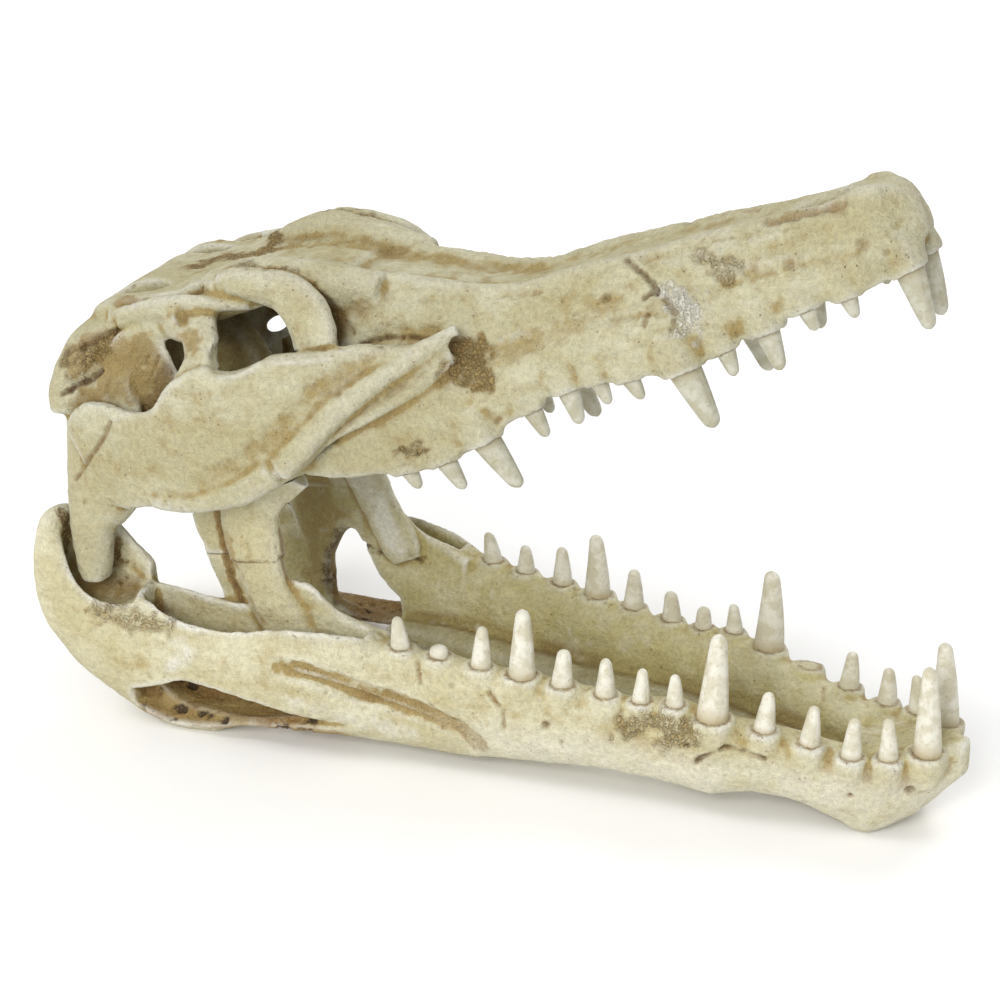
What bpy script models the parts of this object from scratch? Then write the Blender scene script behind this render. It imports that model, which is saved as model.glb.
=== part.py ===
"""Crocodile skull, life size, with its jaws braced open by two bony posts.

The lower jaw lies on the surface z = 0 on three small flats: both jaw angles and the chin.
The upper skull is modelled level, in its own frame, and then turned about the jaw joint by
the gape. +X runs from the jaw joint to the snout, +Z is up, and -Y is the skull's right side.
Tables are in millimetres. Shapes are given for the side y > 0 and mirrored to the other side.
"""

import math

import bmesh
import bpy
import numpy as np
from mathutils import Matrix, Vector

MM = 0.001

# Driving dimensions.
GAPE_DEG = 28.0
JOINT = Vector((-204.8, 0.0, 74.0)) * MM        # jaw joint, on the middle plane
MIDDLE_X = -9.8 * MM                            # moves the jaw so that x = 0 is mid length
CUT = 0.4 * MM                                  # width of the cuts between the parts
VOXEL = 2.0 * MM                                # grain at which the members melt into one bone
PLATE_VOXEL = 1.8 * MM                          # finer grain for the thin plates of the jaw
FLANGE_VOXEL = 1.6 * MM
FUSE_SMOOTHING = 3
FLAT_DEG = 2.5                                  # faces closer than this in tilt are joined
SKULL_FACES = 1840                              # triangles kept after thinning out
JAW_FACES = 1650
FLANGE_FACES = 110
SIDES = (("right", -1), ("left", 1))

# Planes that part the upper skull, in its own frame.
SNOUT_CUT_U = 185.0
TIP_CUT_U = 386.0
CHEEK_CUT_Y = 57.0
ROOF_CUT_V = 76.0
ORBIT_CUT_U = 120.0
PALATE_CUT_V = 9.8
QUADRATE_CUT = ((28.0, 25.0), (62.0, 86.0))
JAW_CUT_X = -47.0

# Upper skull, level: u forward from the jaw joint, y outward, v up.
# Snout: u, margin y, margin v, flank y, flank v, ridge y, ridge v, crown v, palate v
SNOUT = (
    (150, 40, 24, 44, 50, 30, 104, 102, 22),
    (170, 46, 12, 50, 44, 30, 98, 96, 16),
    (190, 57, -2, 58, 30, 28, 90, 87, 10),
    (210, 56, -6, 58, 28, 25, 83, 79, 6),
    (230, 53, -5, 54, 24, 23, 73, 69, 5),
    (250, 50, -2, 51, 22, 22, 62, 59, 6),
    (270, 47, 3, 48, 22, 22, 56, 53, 9),
    (290, 45, 5, 46, 24, 22, 53.5, 50.5, 11),
    (310, 45, 1, 46, 22, 22, 52, 49, 9),
    (328, 46, -3, 46, 19, 22, 49.5, 46.5, 6),
    (345, 44, -5.5, 44, 17, 21, 48, 45, 4),
    (365, 37, -4, 37, 17, 19, 46, 43, 4),
    (385, 33, -3, 33, 16, 17, 43.5, 41.5, 4),
    (405, 31, 0, 32, 16, 16, 40.5, 40, 5),
    (422, 28, -2, 29.5, 15, 14, 38.5, 38, 4),
    (436, 25, -4, 26, 14, 13, 38, 37.5, 3),
    (448, 18, -3, 20, 14, 11, 37.5, 38, 3),
    (458, 10, 1, 12, 14, 6, 33, 35, 6),
    (463.5, 3, 9, 5, 15, 2, 25, 26, 12),
)
BROW_PLACE = 0.45                               # from ridge to flank, where the snout bulges
BROW_BULGE = 2.0
# Skull table and forehead: u, half width, edge v, crown v, underside v
TABLE = (
    (47, 36, 122, 121, 104),
    (57, 47, 126, 126, 104),
    (72, 51, 127, 128, 104),
    (95, 50, 120, 121, 100),
    (120, 48, 114, 115, 96),
    (145, 44, 110, 108, 90),
    (165, 38, 104, 102, 84),
    (185, 32, 94, 92, 70),
)
# Braincase: u, half width, low v, high v
BRAINCASE = (
    (28, 17, 62, 112),
    (42, 24, 44, 118),
    (70, 21, 30, 118),
    (90, 14, 24, 112),
    (104, 9, 18, 84),
    (118, 8, 14, 34),
    (190, 9, 10, 26),
)
# Cheek blade of the jugal and quadratojugal: u, inner y, outer y, low v, high v
CHEEK = (
    (33, 72, 80, 37, 80),
    (44, 73, 82, 30, 86),
    (58, 75, 84, 27.5, 86),
    (70, 77, 85, 25, 80),
    (80, 78, 86, 22.5, 74),
    (92, 78, 87, 18.5, 73),
    (104, 78, 87, 16, 78.5),
    (118, 77, 86.5, 14.5, 82),
    (134, 75, 84.5, 14, 82),
    (150, 71, 81.5, 17, 78.5),
    (166, 66, 77.5, 22.5, 73),
    (182, 60, 72, 25, 67),
    (200, 54, 66, 26, 62),
    (220, 48, 58.5, 29, 52),
    (240, 42, 50.5, 34, 43),
)
# Rear process of the maxilla under the jugal: u, inner y, outer y, low v, high v
PROCESS = (
    (145, 60, 67, 11.5, 20),
    (165, 58, 67, 3.5, 24),
    (185, 55, 65, -1.5, 28),
    (205, 50, 60, -6, 30),
    (225, 44, 55, -6, 30),
)
# Palate with the pterygoid shelf: u, half width, low v, high v
PALATE = (
    (62, 18, 10.5, 26),
    (80, 40, 11, 23),
    (100, 56, 11, 22),
    (122, 58, 11, 22),
    (140, 40, 10.5, 21),
    (160, 20, 10.5, 20),
    (200, 18, 9, 18),
    (250, 20, 6, 16),
)
# Round members as paths of (u, y, v, radius along u, radius across)
QUADRATE = (
    (60, 42, 104, 18, 9),
    (53, 58, 90, 24, 8),
    (43, 69, 66, 24, 6.5),
    (27, 74, 44, 16, 7),
    (14, 76, 22, 12, 8),
    (6, 76, 8, 9.5, 8.5),
    (3, 76, 1, 7, 8),
)
WING = (
    (78, 34, 112, 13, 9),
    (56, 47, 112, 13, 9),
    (40, 56, 103, 13, 9),
    (30, 63, 92, 11, 8),
    (27, 66, 84, 8, 7),
)
OCCIPUT = (
    (48, 0, 110, 9, 12),
    (44, 24, 106, 9, 11),
    (42, 46, 98, 9, 12),
)
EDGE_BAR = (
    (70, 50, 117, 7, 6),
    (84, 51, 114.5, 5.5, 5),
    (104, 51, 112, 5.5, 5),
    (124, 50, 106, 5.5, 5),
    (140, 47, 101, 6, 5),
    (158, 43, 99, 7, 6),
)
POSTORBITAL = (
    (108, 47, 110, 10, 6),
    (117, 55, 102, 10.5, 6),
    (123, 65, 92, 10.5, 6),
    (125, 77, 78, 13, 5),
)
LACRIMAL = (
    (158, 36, 99, 7, 9),
    (168, 42, 86, 7, 8),
    (177, 52, 70, 8, 8),
    (180, 61, 58, 9, 8),
)
EYE_HUMP = (
    (104, 38, 107, 9, 10),
    (124, 40, 107, 12, 11),
    (148, 40, 106, 12, 11.5),
    (166, 37, 99, 11, 12),
    (184, 32, 89, 11, 11),
    (204, 27, 76, 11, 8),
)
ECTOPTERYGOID = (
    (118, 48, 16, 12, 6),
    (134, 62, 18, 12, 5),
    (146, 74, 24, 10, 5),
)
CONDYLE = ((22, 0, 74, 8, 8), (36, 0, 72, 13, 13))
TUBERA = ((46, 12, 40, 9, 9), (46, 6, 60, 9, 9))
QUADRATE_BODY = (
    (92, 18, 52, 18, 11),
    (66, 38, 48, 22, 11),
    (42, 58, 42, 18, 10),
    (24, 71, 30, 12, 9),
)

# Openings of the upper skull.
ORBIT = (
    (138, 44, 74, 10, 12),
    (150, 53, 80, 17, 11),
    (151, 64, 83, 19, 10),
    (151, 92, 82, 20, 9.5),
)
ORBIT_DEPTH = ((148, 14, 78, 19, 17), (148, 34, 80, 19, 17), (148, 50, 82, 17, 12))
LOWER_FENESTRA = ((96, 60, 90, 17, 11), (98, 74, 91, 18, 11), (100, 95, 92, 18, 11))
LOWER_FENESTRA_TIP = ((80, 58, 84, 8, 8), (80, 95, 84, 8, 8))
LEFT_TEMPLE_WINDOW = ((92, 40, 71, 9, 6), (78, 60, 69, 9, 6), (50, 100, 64, 9, 6))
# Upright holes: u, y, radius along u, radius across, low v, high v
UPPER_FENESTRA = (78, 31, 15, 8, 92, 140)
SUBORBITAL = (172, 33, 28, 10, -20, 60)
NARIS = (424, 0, 15, 9, 26, 60)
CHOANA = (78, 0, 9, 8, 0, 18)
FORAMEN_MAGNUM = ((15, 0, 93, 6.5, 6.5), (55, 0, 92, 6.5, 6.5))

# Upper teeth: u, y, length, base radius, forward lean in degrees
UPPER_TEETH = (
    (193, 58.5, 13, 5.0, 6),
    (213, 55.5, 18, 5.6, 8),
    (236, 52, 29, 7.6, 12),
    (264, 47.5, 16, 5.2, 4),
    (285, 45, 19, 5.8, -6),
    (301, 44.5, 13, 4.6, 0),
    (317, 45, 12.5, 4.8, 6),
    (343, 43, 32, 8.2, 4),
    (363, 37, 14.5, 5.0, -3),
    (384, 33, 21, 6.2, -4),
    (405, 31, 12.5, 4.8, 0),
    (424, 27.5, 11.5, 4.6, -2),
    (450, 14.5, 30.5, 7.0, -3),
)
# Tooth profile: height as a share of the length, width and inward bend as shares of their own
TOOTH_PROFILE = ((0.0, 1.0, 0.0), (0.6, 0.7, 0.02), (1.0, 0.2, 0.05))
TOOTH_ROOT = 9.0                                # length and relative width inside the bone
TOOTH_ROOT_WIDTH = 0.92
TOOTH_FLATTEN = 0.9                             # width across the jaw over width along it
TOOTH_SIDES = 6
UPPER_TOOTH_INSET = 3.0                         # how far the upper row stands inside the margin

# Lower jaw: x, inner y, outer y, low z, high z
RAMUS = (
    (-225.5, 66, 84, 60, 96),
    (-220, 58, 91, 48, 110),
    (-212, 54, 93.5, 36, 111),
    (-201, 52, 93.5, 25, 94),
    (-190, 50, 92, 17, 81),
    (-175, 48, 90, 7, 74.5),
    (-153, 46, 89, -1.2, 74),
    (-131, 45, 87, -0.8, 71),
    (-110, 44, 84, 5.5, 71),
    (-90, 44, 81, 7.5, 72.5),
    (-70, 43, 77, 9, 72),
    (-50, 42, 71, 9, 69),
    (-32, 41, 66, 8.5, 62),
    (0, 38, 61, 8, 60),
    (30, 34, 57, 10, 58),
    (60, 31, 53, 12, 55.5),
    (90, 28, 49, 13.3, 54),
    (110, 25, 48, 12, 57),
    (130, 23, 47, 10.5, 53),
    (150, 19, 42, 13.5, 50.5),
    (170, 14, 37, 12, 47),
    (190, 8, 34, 5, 42.5),
    (205, 3, 31, -2.6, 41.5),
    (220, -3, 25, 5, 44.5),
    (234, -3, 15, 18, 46),
    (245.5, -2, 6, 32, 49),
)
# Inner shelf along the foot of each jaw half: x, inner y, outer y, low z, high z
SHELF = (
    (-85, 34, 54, 10, 20),
    (-60, 30, 52, 10, 24),
    (-30, 24, 52, 9, 26),
    (20, 16, 46, 10, 26),
    (80, 10, 38, 13, 27),
    (140, 4, 30, 14, 26),
    (196, -6, 20, 6, 24),
)
CHIN = ((188, 0, 26, 14, 14), (206, 0, 25, 16, 20), (226, 0, 29, 14, 15))
SOCKET_WALL = (
    (-219, 55, 64, 84, 102),
    (-206, 54, 62, 60, 104.5),
    (-193, 53, 61, 55, 102),
    (-181, 53, 61, 55, 92),
    (-170, 53, 61, 56, 82),
)
SOCKET = (
    (-200, 75, 120, 9, 11),
    (-197, 75, 95, 13, 12),
    (-191, 75, 80, 16, 13),
    (-172, 74, 80, 12, 12.5),
    (-150, 72, 90, 12, 11.5),
)
TROUGH = (
    (-166, 62, 74, 30, 84),
    (-150, 56, 80, 14, 90),
    (-120, 54, 78, 12, 90),
    (-90, 53, 74, 14, 90),
    (-65, 52, 70, 22, 90),
    (-48, 52, 64, 44, 90),
)
RIGHT_FENESTRA = (
    (-168, 74, 96, 13, 23),
    (-150, 73, 96, 6.5, 30),
    (-138, 72, 95, 6.5, 34),
    (-112, 72, 92, 10, 30.5),
    (-80, 70, 88, 16, 24),
    (-50, 70, 82, 18.5, 20),
)
LEFT_FENESTRA = (
    (-160, 70, 96, 12, 25),
    (-142, 70, 95, 8, 42),
    (-126, 70, 95, 9, 52),
    (-108, 70, 93, 10, 44),
    (-90, 70, 90, 13, 32),
    (-72, 68, 88, 17, 25),
)
LEFT_WINDOW = (
    (-124, 36, 62, 22, 48),
    (-117, 36, 62, 17, 62),
    (-108, 36, 62, 14, 69),
    (-101, 36, 62, 13, 58),
    (-92, 36, 62, 14, 43),
    (-81, 36, 62, 20, 33),
)
RIGHT_WINDOW = (
    (-122, 36, 62, 20, 38),
    (-108, 36, 62, 15, 42),
    (-92, 36, 62, 15, 38),
    (-81, 36, 62, 20, 30),
)
JAW_WINDOWS = {
    "right": (RIGHT_FENESTRA, RIGHT_WINDOW),
    "left": (LEFT_FENESTRA, LEFT_WINDOW),
}
OUTER_GROOVE = (
    (-92, 79, 90, 36, 41),
    (-76, 75, 88, 32, 50),
    (-44, 68, 80, 31, 48),
    (-10, 60, 74, 30, 43),
    (18, 56.5, 68, 29, 34),
)

# Braces: pterygoid flange above the seam, bony post of the lower jaw below it.
FLANGE = ((-98, 48, 150, 20, 8), (-108, 50, 132, 14.5, 7.5), (-112, 51, 118, 12.5, 7.5),
          (-109, 52, 102, 12, 7.5), (-105, 52, 88, 11.5, 7.5))
POST = ((-112, 52, 112, 11, 7), (-108, 52, 97, 10.5, 7), (-102, 52, 78, 10.5, 7),
        (-91, 52, 58, 12, 7), (-84, 52, 40, 13, 6))
FLANGE_SHEET = ((-127, 45, 152, 27, 2.6), (-129, 45.5, 116, 26, 2.6), (-126, 46, 90, 26, 2.6))
POST_SHEET = ((-129, 45.5, 116, 26, 2.6), (-126, 46, 90, 26, 2.6), (-118, 46.5, 65, 26, 2.6),
              (-108, 47, 38, 27, 2.8))
INNER_LEDGE = (
    (-158, 46, 52, 30, 57),
    (-150, 46, 52, 30, 62),
    (-134, 46, 52, 30, 64),
)
INNER_CREST = (
    (-98, 47, 52, 40, 84),
    (-82, 47, 52, 40, 84),
    (-68, 46, 52, 40, 73),
    (-40, 42, 50, 40, 64),
)
SEAM_POINT = (-109, 52, 95)
SEAM_SLOPE_DEG = 12.0
SEAM_BLOCK_SIZE = (90, 140, 60)

# Lower teeth: x, y, length, base radius, forward lean in degrees
LOWER_TEETH = (
    (-29, 54, 18, 5.4, -6),
    (-9, 52, 17, 5.2, 2),
    (13, 50, 23, 5.6, 2),
    (34, 48, 37, 7.2, 1),
    (55, 46, 24, 5.8, 3),
    (77, 43.5, 21, 5.4, 0),
    (95, 42, 19, 4.8, 2),
    (112, 41.5, 17.5, 4.8, 0),
    (131, 39.5, 46, 8.0, 3),
    (155, 34.5, 22, 5.6, 6),
    (177, 31, 22, 5.4, 5),
    (197, 28.5, 22, 5.4, 3),
    (214, 24.5, 22, 5.2, -2),
    (230, 16, 46, 7.2, -1),
)

# Base colour and roughness of each family of parts.
BONE_COLORS = {
    "premaxilla": ((0.76, 0.69, 0.52), 0.62),
    "maxilla": ((0.74, 0.67, 0.50), 0.62),
    "skull_roof": ((0.66, 0.58, 0.40), 0.68),
    "braincase": ((0.60, 0.51, 0.32), 0.70),
    "preorbital": ((0.64, 0.55, 0.36), 0.68),
    "jugal": ((0.76, 0.70, 0.54), 0.60),
    "quadrate": ((0.70, 0.62, 0.44), 0.66),
    "pterygoid_flange": ((0.64, 0.56, 0.37), 0.66),
    "dentary": ((0.75, 0.69, 0.52), 0.62),
    "jaw_angle": ((0.73, 0.66, 0.49), 0.62),
}


def smooth_rows(rows, steps):
    """Rows with Catmull-Rom rows added between each pair."""
    table = np.array(rows, dtype=float)
    padded = np.vstack((2 * table[0] - table[1], table, 2 * table[-1] - table[-2]))
    result = []
    for index in range(1, len(padded) - 2):
        before, here, after, beyond = padded[index - 1:index + 3]
        for step in range(steps):
            t = step / steps
            result.append(0.5 * (2 * here + (after - before) * t
                                 + (2 * before - 5 * here + 4 * after - beyond) * t ** 2
                                 + (3 * here - before - 3 * after + beyond) * t ** 3))
    result.append(table[-1])
    return result


def loft(bm, rings):
    """Closed skin over rings of equal point counts, in millimetres."""
    loops = [[bm.verts.new(Vector(point) * MM) for point in ring] for ring in rings]
    count = len(loops[0])
    for lower, upper in zip(loops, loops[1:]):
        for i in range(count):
            j = (i + 1) % count
            bm.faces.new((lower[i], lower[j], upper[j], upper[i]))
    bm.faces.new(loops[0][::-1])
    bm.faces.new(loops[-1])


def oval(count, power):
    """Unit oval, rounder for power 2 and squarer for higher powers."""
    points = []
    for i in range(count):
        angle = 2 * math.pi * (i + 0.5) / count
        c, s = math.cos(angle), math.sin(angle)
        points.append((math.copysign(abs(c) ** (2 / power), c),
                       math.copysign(abs(s) ** (2 / power), s)))
    return points


def add_beam(bm, rows, side=1, power=3.0, count=14, steps=3):
    """Bar along the first axis through rows of (x, inner y, outer y, low z, high z)."""
    rings = []
    for x, inner, outer, low, high in smooth_rows(rows, steps):
        rings.append([(x, side * ((inner + outer) + (outer - inner) * a) / 2,
                       ((low + high) + (high - low) * b) / 2) for a, b in oval(count, power)])
    loft(bm, rings)


def add_centred(bm, rows, power=3.0, count=20):
    """Bar on the middle plane through rows of (x, half width, low z, high z)."""
    add_beam(bm, [(x, -half, half, low, high) for x, half, low, high in rows],
             power=power, count=count)


def add_limb(bm, path, side=1, power=2.2, count=12, steps=3):
    """Round member along a path of (x, y, z, radius along x, radius across)."""
    rows = smooth_rows(path, steps)
    rings = []
    for index, (x, y, z, along, across) in enumerate(rows):
        ahead = rows[min(index + 1, len(rows) - 1)]
        behind = rows[max(index - 1, 0)]
        tangent = Vector(ahead[:3] - behind[:3]).normalized()
        forward = Vector((1, 0, 0)) - tangent * tangent.x
        if forward.length < 0.3:
            forward = Vector((0, 0, 1)) - tangent * tangent.z
        forward.normalize()
        sideways = tangent.cross(forward)
        centre = Vector((x, y, z))
        ring = [centre + forward * along * a + sideways * across * b for a, b in oval(count, power)]
        rings.append([(point.x, side * point.y, point.z) for point in ring])
    loft(bm, rings)


def add_plug(bm, u, y, along, across, low, high, side=1, count=14):
    """Upright oval column, used to open holes in the roof and the palate."""
    rings = [[(u + along * a, side * y + across * b, v) for a, b in oval(count, 2)]
             for v in (low, high)]
    loft(bm, rings)


def add_tooth(bm, x, y, z, length, radius, lean_deg, side, up):
    """Conical tooth, root in the bone, slightly oval and curved inward at its tip."""
    lean = math.radians(lean_deg)
    axis = Vector((math.sin(lean), 0, up * math.cos(lean)))
    profile = [(height * length, width, bend) for height, width, bend in TOOTH_PROFILE]
    rings = []
    for rise, width, bend in [(-TOOTH_ROOT, TOOTH_ROOT_WIDTH, 0.0)] + profile:
        centre = Vector((x, side * (y - bend * length), z)) + axis * rise
        along, across = radius * width, radius * width * TOOTH_FLATTEN
        rings.append([centre + Vector((along * a, across * b, 0)) for a, b in oval(TOOTH_SIDES, 2)])
    loft(bm, rings)


def body_from(name, build):
    """Object whose closed skins come from build(bm), all facing out."""
    bm = bmesh.new()
    build(bm)
    bmesh.ops.recalc_face_normals(bm, faces=bm.faces)
    mesh = bpy.data.meshes.new(name)
    bm.to_mesh(mesh)
    bm.free()
    item = bpy.data.objects.new(name, mesh)
    bpy.context.scene.collection.objects.link(item)
    return item


def bake(item):
    """Replace an object's mesh by its modified one and drop the modifiers."""
    graph = bpy.context.evaluated_depsgraph_get()
    mesh = bpy.data.meshes.new_from_object(item.evaluated_get(graph))
    item.modifiers.clear()
    item.data = mesh


def boolean(item, other, operation):
    """Apply one exact boolean and remove the other object."""
    modifier = item.modifiers.new(operation.lower(), "BOOLEAN")
    modifier.operation = operation
    modifier.solver = "EXACT"
    modifier.use_self = True
    modifier.object = other
    bake(item)
    bpy.data.objects.remove(other)


def fuse(item, voxel=VOXEL):
    """Melt overlapping skins into one organic surface."""
    remesh = item.modifiers.new("fuse", "REMESH")
    remesh.mode = "VOXEL"
    remesh.voxel_size = voxel
    smooth = item.modifiers.new("soften", "SMOOTH")
    smooth.factor = 0.5
    smooth.iterations = FUSE_SMOOTHING
    bake(item)


def thin_out(item, faces):
    """Reduce the surface to about the given number of triangles."""
    triangulate = item.modifiers.new("triangles", "TRIANGULATE")
    triangulate.quad_method = "SHORTEST_DIAGONAL"
    bake(item)
    decimate = item.modifiers.new("decimate", "DECIMATE")
    decimate.ratio = min(1.0, faces / len(item.data.polygons))
    bake(item)


def build_skull(bm):
    """All members of the upper skull as overlapping skins."""
    rings = [snout_ring(*row) for row in smooth_rows(SNOUT, 3)]
    loft(bm, rings)
    loft(bm, [table_ring(*row) for row in smooth_rows(TABLE, 3)])
    add_centred(bm, BRAINCASE)
    add_centred(bm, PALATE, power=4)
    add_limb(bm, CONDYLE)
    for _, side in SIDES:
        add_beam(bm, CHEEK, side)
        add_beam(bm, PROCESS, side)
        for path in (QUADRATE, QUADRATE_BODY, WING, OCCIPUT, EDGE_BAR, POSTORBITAL, LACRIMAL,
                     EYE_HUMP, ECTOPTERYGOID, TUBERA):
            add_limb(bm, path, side)


def snout_ring(u, margin_y, margin_v, flank_y, flank_v, ridge_y, ridge_v, crown_v, palate_v):
    """Cross-section of the snout: palate, tooth margin, bulging flank, ridge and crown."""
    brow_y = ridge_y + (flank_y - ridge_y) * BROW_PLACE
    brow_v = ridge_v + (flank_v - ridge_v) * BROW_PLACE + BROW_BULGE
    half = [
        (margin_y * 0.45, palate_v),
        (margin_y * 0.78, palate_v),
        (margin_y * 0.88, margin_v + 1.5),
        (margin_y * 0.98, margin_v),
        (margin_y + 1.0, margin_v + 5),
        (flank_y, flank_v),
        (brow_y, brow_v),
        (ridge_y, ridge_v),
        (ridge_y * 0.5, crown_v),
    ]
    right = [(u, y, v) for y, v in half]
    left = [(u, -y, v) for y, v in reversed(half)]
    return right + left


def table_ring(u, half_width, edge_v, crown_v, under_v):
    """Cross-section of the flat skull table."""
    half = [
        (half_width * 0.5, under_v),
        (half_width * 0.95, (under_v + edge_v) / 2 - 3),
        (half_width, (under_v + edge_v) / 2 + 2),
        (half_width * 0.96, edge_v),
        (half_width * 0.5, crown_v),
    ]
    right = [(u, y, v) for y, v in half]
    left = [(u, -y, v) for y, v in reversed(half)]
    return right + left


def skull_openings(bm):
    """Eye sockets, temporal windows, nostril, palate windows and the spinal opening."""
    for _, side in SIDES:
        for path in (ORBIT, ORBIT_DEPTH, LOWER_FENESTRA, LOWER_FENESTRA_TIP):
            add_limb(bm, path, side)
        add_plug(bm, *UPPER_FENESTRA, side=side)
        add_plug(bm, *SUBORBITAL, side=side)
    add_limb(bm, LEFT_TEMPLE_WINDOW)
    add_plug(bm, *NARIS)
    add_plug(bm, *CHOANA)
    add_limb(bm, FORAMEN_MAGNUM)


def build_jaw(bm):
    """Both halves of the lower jaw as overlapping skins, still solid."""
    add_limb(bm, CHIN)
    for _, side in SIDES:
        add_beam(bm, RAMUS, side, power=2.6)
        add_beam(bm, SHELF, side)


def jaw_hollows(bm):
    """Joint sockets, and the troughs that open upward behind the tooth rows."""
    for _, side in SIDES:
        add_limb(bm, SOCKET, side)
        add_beam(bm, TROUGH, side, power=4)


def jaw_windows(bm):
    """Side windows, windows of the inner walls and the long outer grooves."""
    for name, side in SIDES:
        outer, inner = JAW_WINDOWS[name]
        add_beam(bm, outer, side, power=2.5)
        add_beam(bm, inner, side, power=2.5)
        add_beam(bm, OUTER_GROOVE, side, power=2.2)


def jaw_plates(bm):
    """Walls inside the joint sockets, inner plates and the posts that brace the jaws."""
    for _, side in SIDES:
        for rows in (SOCKET_WALL, INNER_LEDGE, INNER_CREST):
            add_beam(bm, rows, side)
        add_limb(bm, POST_SHEET, side, power=4)
        add_limb(bm, POST, side)


def half_space(point, normal, size=1.2):
    """Large block that fills the side of a plane which its normal points to."""
    block = body_from("block", lambda bm: bmesh.ops.create_cube(bm, size=size))
    direction = Vector(normal).normalized()
    block.data.transform(direction.to_track_quat("Z", "Y").to_matrix().to_4x4())
    block.data.transform(Matrix.Translation(Vector(point) + direction * size / 2))
    return block


def keep_side(item, point, normal):
    """Cut an object with a plane, and keep the side that the normal points to."""
    cutter = half_space(point, -Vector(normal))
    boolean(item, cutter, "DIFFERENCE")


def keep_largest(item):
    """Drop crumbs that a plane has cut off."""
    bm = bmesh.new()
    bm.from_mesh(item.data)
    unseen = set(bm.faces)
    groups = []
    while unseen:
        front = [unseen.pop()]
        group = list(front)
        while front:
            face = front.pop()
            for edge in face.edges:
                if len(edge.link_faces) != 2:
                    continue
                for other in edge.link_faces:
                    if other in unseen:
                        unseen.remove(other)
                        front.append(other)
                        group.append(other)
        groups.append(group)
    groups.sort(key=len)
    for group in groups[:-1]:
        bmesh.ops.delete(bm, geom=group, context="FACES")
    bm.to_mesh(item.data)
    bm.free()


def merge_flat_faces(item):
    """Join triangles that lie almost in one plane, then lay fresh triangles over them."""
    bm = bmesh.new()
    bm.from_mesh(item.data)
    bmesh.ops.dissolve_limit(bm, angle_limit=math.radians(FLAT_DEG), verts=bm.verts, edges=bm.edges)
    bmesh.ops.triangulate(bm, faces=bm.faces)
    bm.to_mesh(item.data)
    bm.free()


def part_from(source, name, planes):
    """Named copy of a body, cut by planes of (point, normal), all in metres."""
    item = bpy.data.objects.new(name, source.data.copy())
    bpy.context.scene.collection.objects.link(item)
    for point, normal in planes:
        keep_side(item, point, normal)
    keep_largest(item)
    merge_flat_faces(item)
    return item


def margin_height(rows, x, column):
    """Height of a table's tooth margin at a place along it."""
    return float(np.interp(x, [row[0] for row in rows], [row[column] for row in rows]))


def upper_teeth(bm):
    """Both upper tooth rows, points down."""
    for u, y, length, radius, lean in UPPER_TEETH:
        for _, side in SIDES:
            gum = margin_height(SNOUT, u, 2) + 1
            add_tooth(bm, u, y - UPPER_TOOTH_INSET, gum, length, radius, lean, side, -1)


def lower_teeth(bm):
    """Both lower tooth rows, points up."""
    for x, y, length, radius, lean in LOWER_TEETH:
        for _, side in SIDES:
            gum = margin_height(RAMUS, x, 4) - 1
            add_tooth(bm, x, y, gum, length, radius, lean, side, 1)


def split_skull(skull):
    """Premaxilla, snout halves, roof, braincase, cheeks and quadrates, parted by thin plane cuts."""
    gap = CUT / 2
    snout = SNOUT_CUT_U * MM
    tip = TIP_CUT_U * MM
    cheek = CHEEK_CUT_Y * MM
    low, high = QUADRATE_CUT
    along = Vector((high[0] - low[0], 0, high[1] - low[1])).normalized()
    front = Vector((along.z, 0, -along.x))
    seam = Vector((low[0], 0, low[1])) * MM
    roof = ROOF_CUT_V * MM
    orbit = ORBIT_CUT_U * MM
    ahead = ((snout + gap, 0, 0), (1, 0, 0))
    behind = ((snout - gap, 0, 0), (-1, 0, 0))
    inside = [behind,
              ((0, cheek - gap, 0), (0, -1, 0)),
              ((0, gap - cheek, 0), (0, 1, 0)),
              ((0, 0, PALATE_CUT_V * MM + CUT), (0, 0, 1))]
    above = ((0, 0, roof + gap), (0, 0, 1))
    below = ((0, 0, roof - gap), (0, 0, -1))
    parts = [part_from(skull, "premaxilla", [((tip + gap, 0, 0), (1, 0, 0))]),
             part_from(skull, "skull_roof", inside + [above]),
             part_from(skull, "braincase", inside + [below, ((orbit - gap, 0, 0), (-1, 0, 0))]),
             part_from(skull, "preorbital", inside + [below, ((orbit + gap, 0, 0), (1, 0, 0))])]
    for name, side in SIDES:
        outside = ((0, side * (cheek + gap), 0), (0, side, 0))
        parts.append(part_from(skull, "maxilla_" + name, [ahead, ((tip - gap, 0, 0), (-1, 0, 0)),
                                                          ((0, side * gap, 0), (0, side, 0))]))
        parts.append(part_from(skull, "jugal_" + name, [behind, outside, (seam + front * gap, front)]))
        parts.append(part_from(skull, "quadrate_" + name, [outside, (seam - front * gap, -front)]))
    return parts


def seam_plane(side_of_gap):
    """Plane across a brace where the flange meets the post; the normal points up the brace."""
    slope = math.radians(SEAM_SLOPE_DEG)
    normal = Vector((-math.sin(slope), 0, math.cos(slope)))
    point = Vector(SEAM_POINT) * MM + normal * side_of_gap * CUT / 2
    return point + Vector((MIDDLE_X, 0, 0)), normal


def build_flange(name, side):
    """Pterygoid flange: the sleeve and the thin sheet behind it, down to the seam."""
    def members(bm):
        add_limb(bm, FLANGE, side)
        add_limb(bm, FLANGE_SHEET, side, power=4)
    item = body_from("pterygoid_flange_" + name, members)
    fuse(item, FLANGE_VOXEL)
    item.data.transform(Matrix.Translation((MIDDLE_X, 0, 0)))
    thin_out(item, FLANGE_FACES)
    keep_side(item, *seam_plane(1))
    turn = skull_matrix().to_3x3()
    top = skull_matrix() @ Vector((0, 0, PALATE_CUT_V * MM))
    keep_side(item, top, turn @ Vector((0, 0, -1)))
    return item


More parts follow.
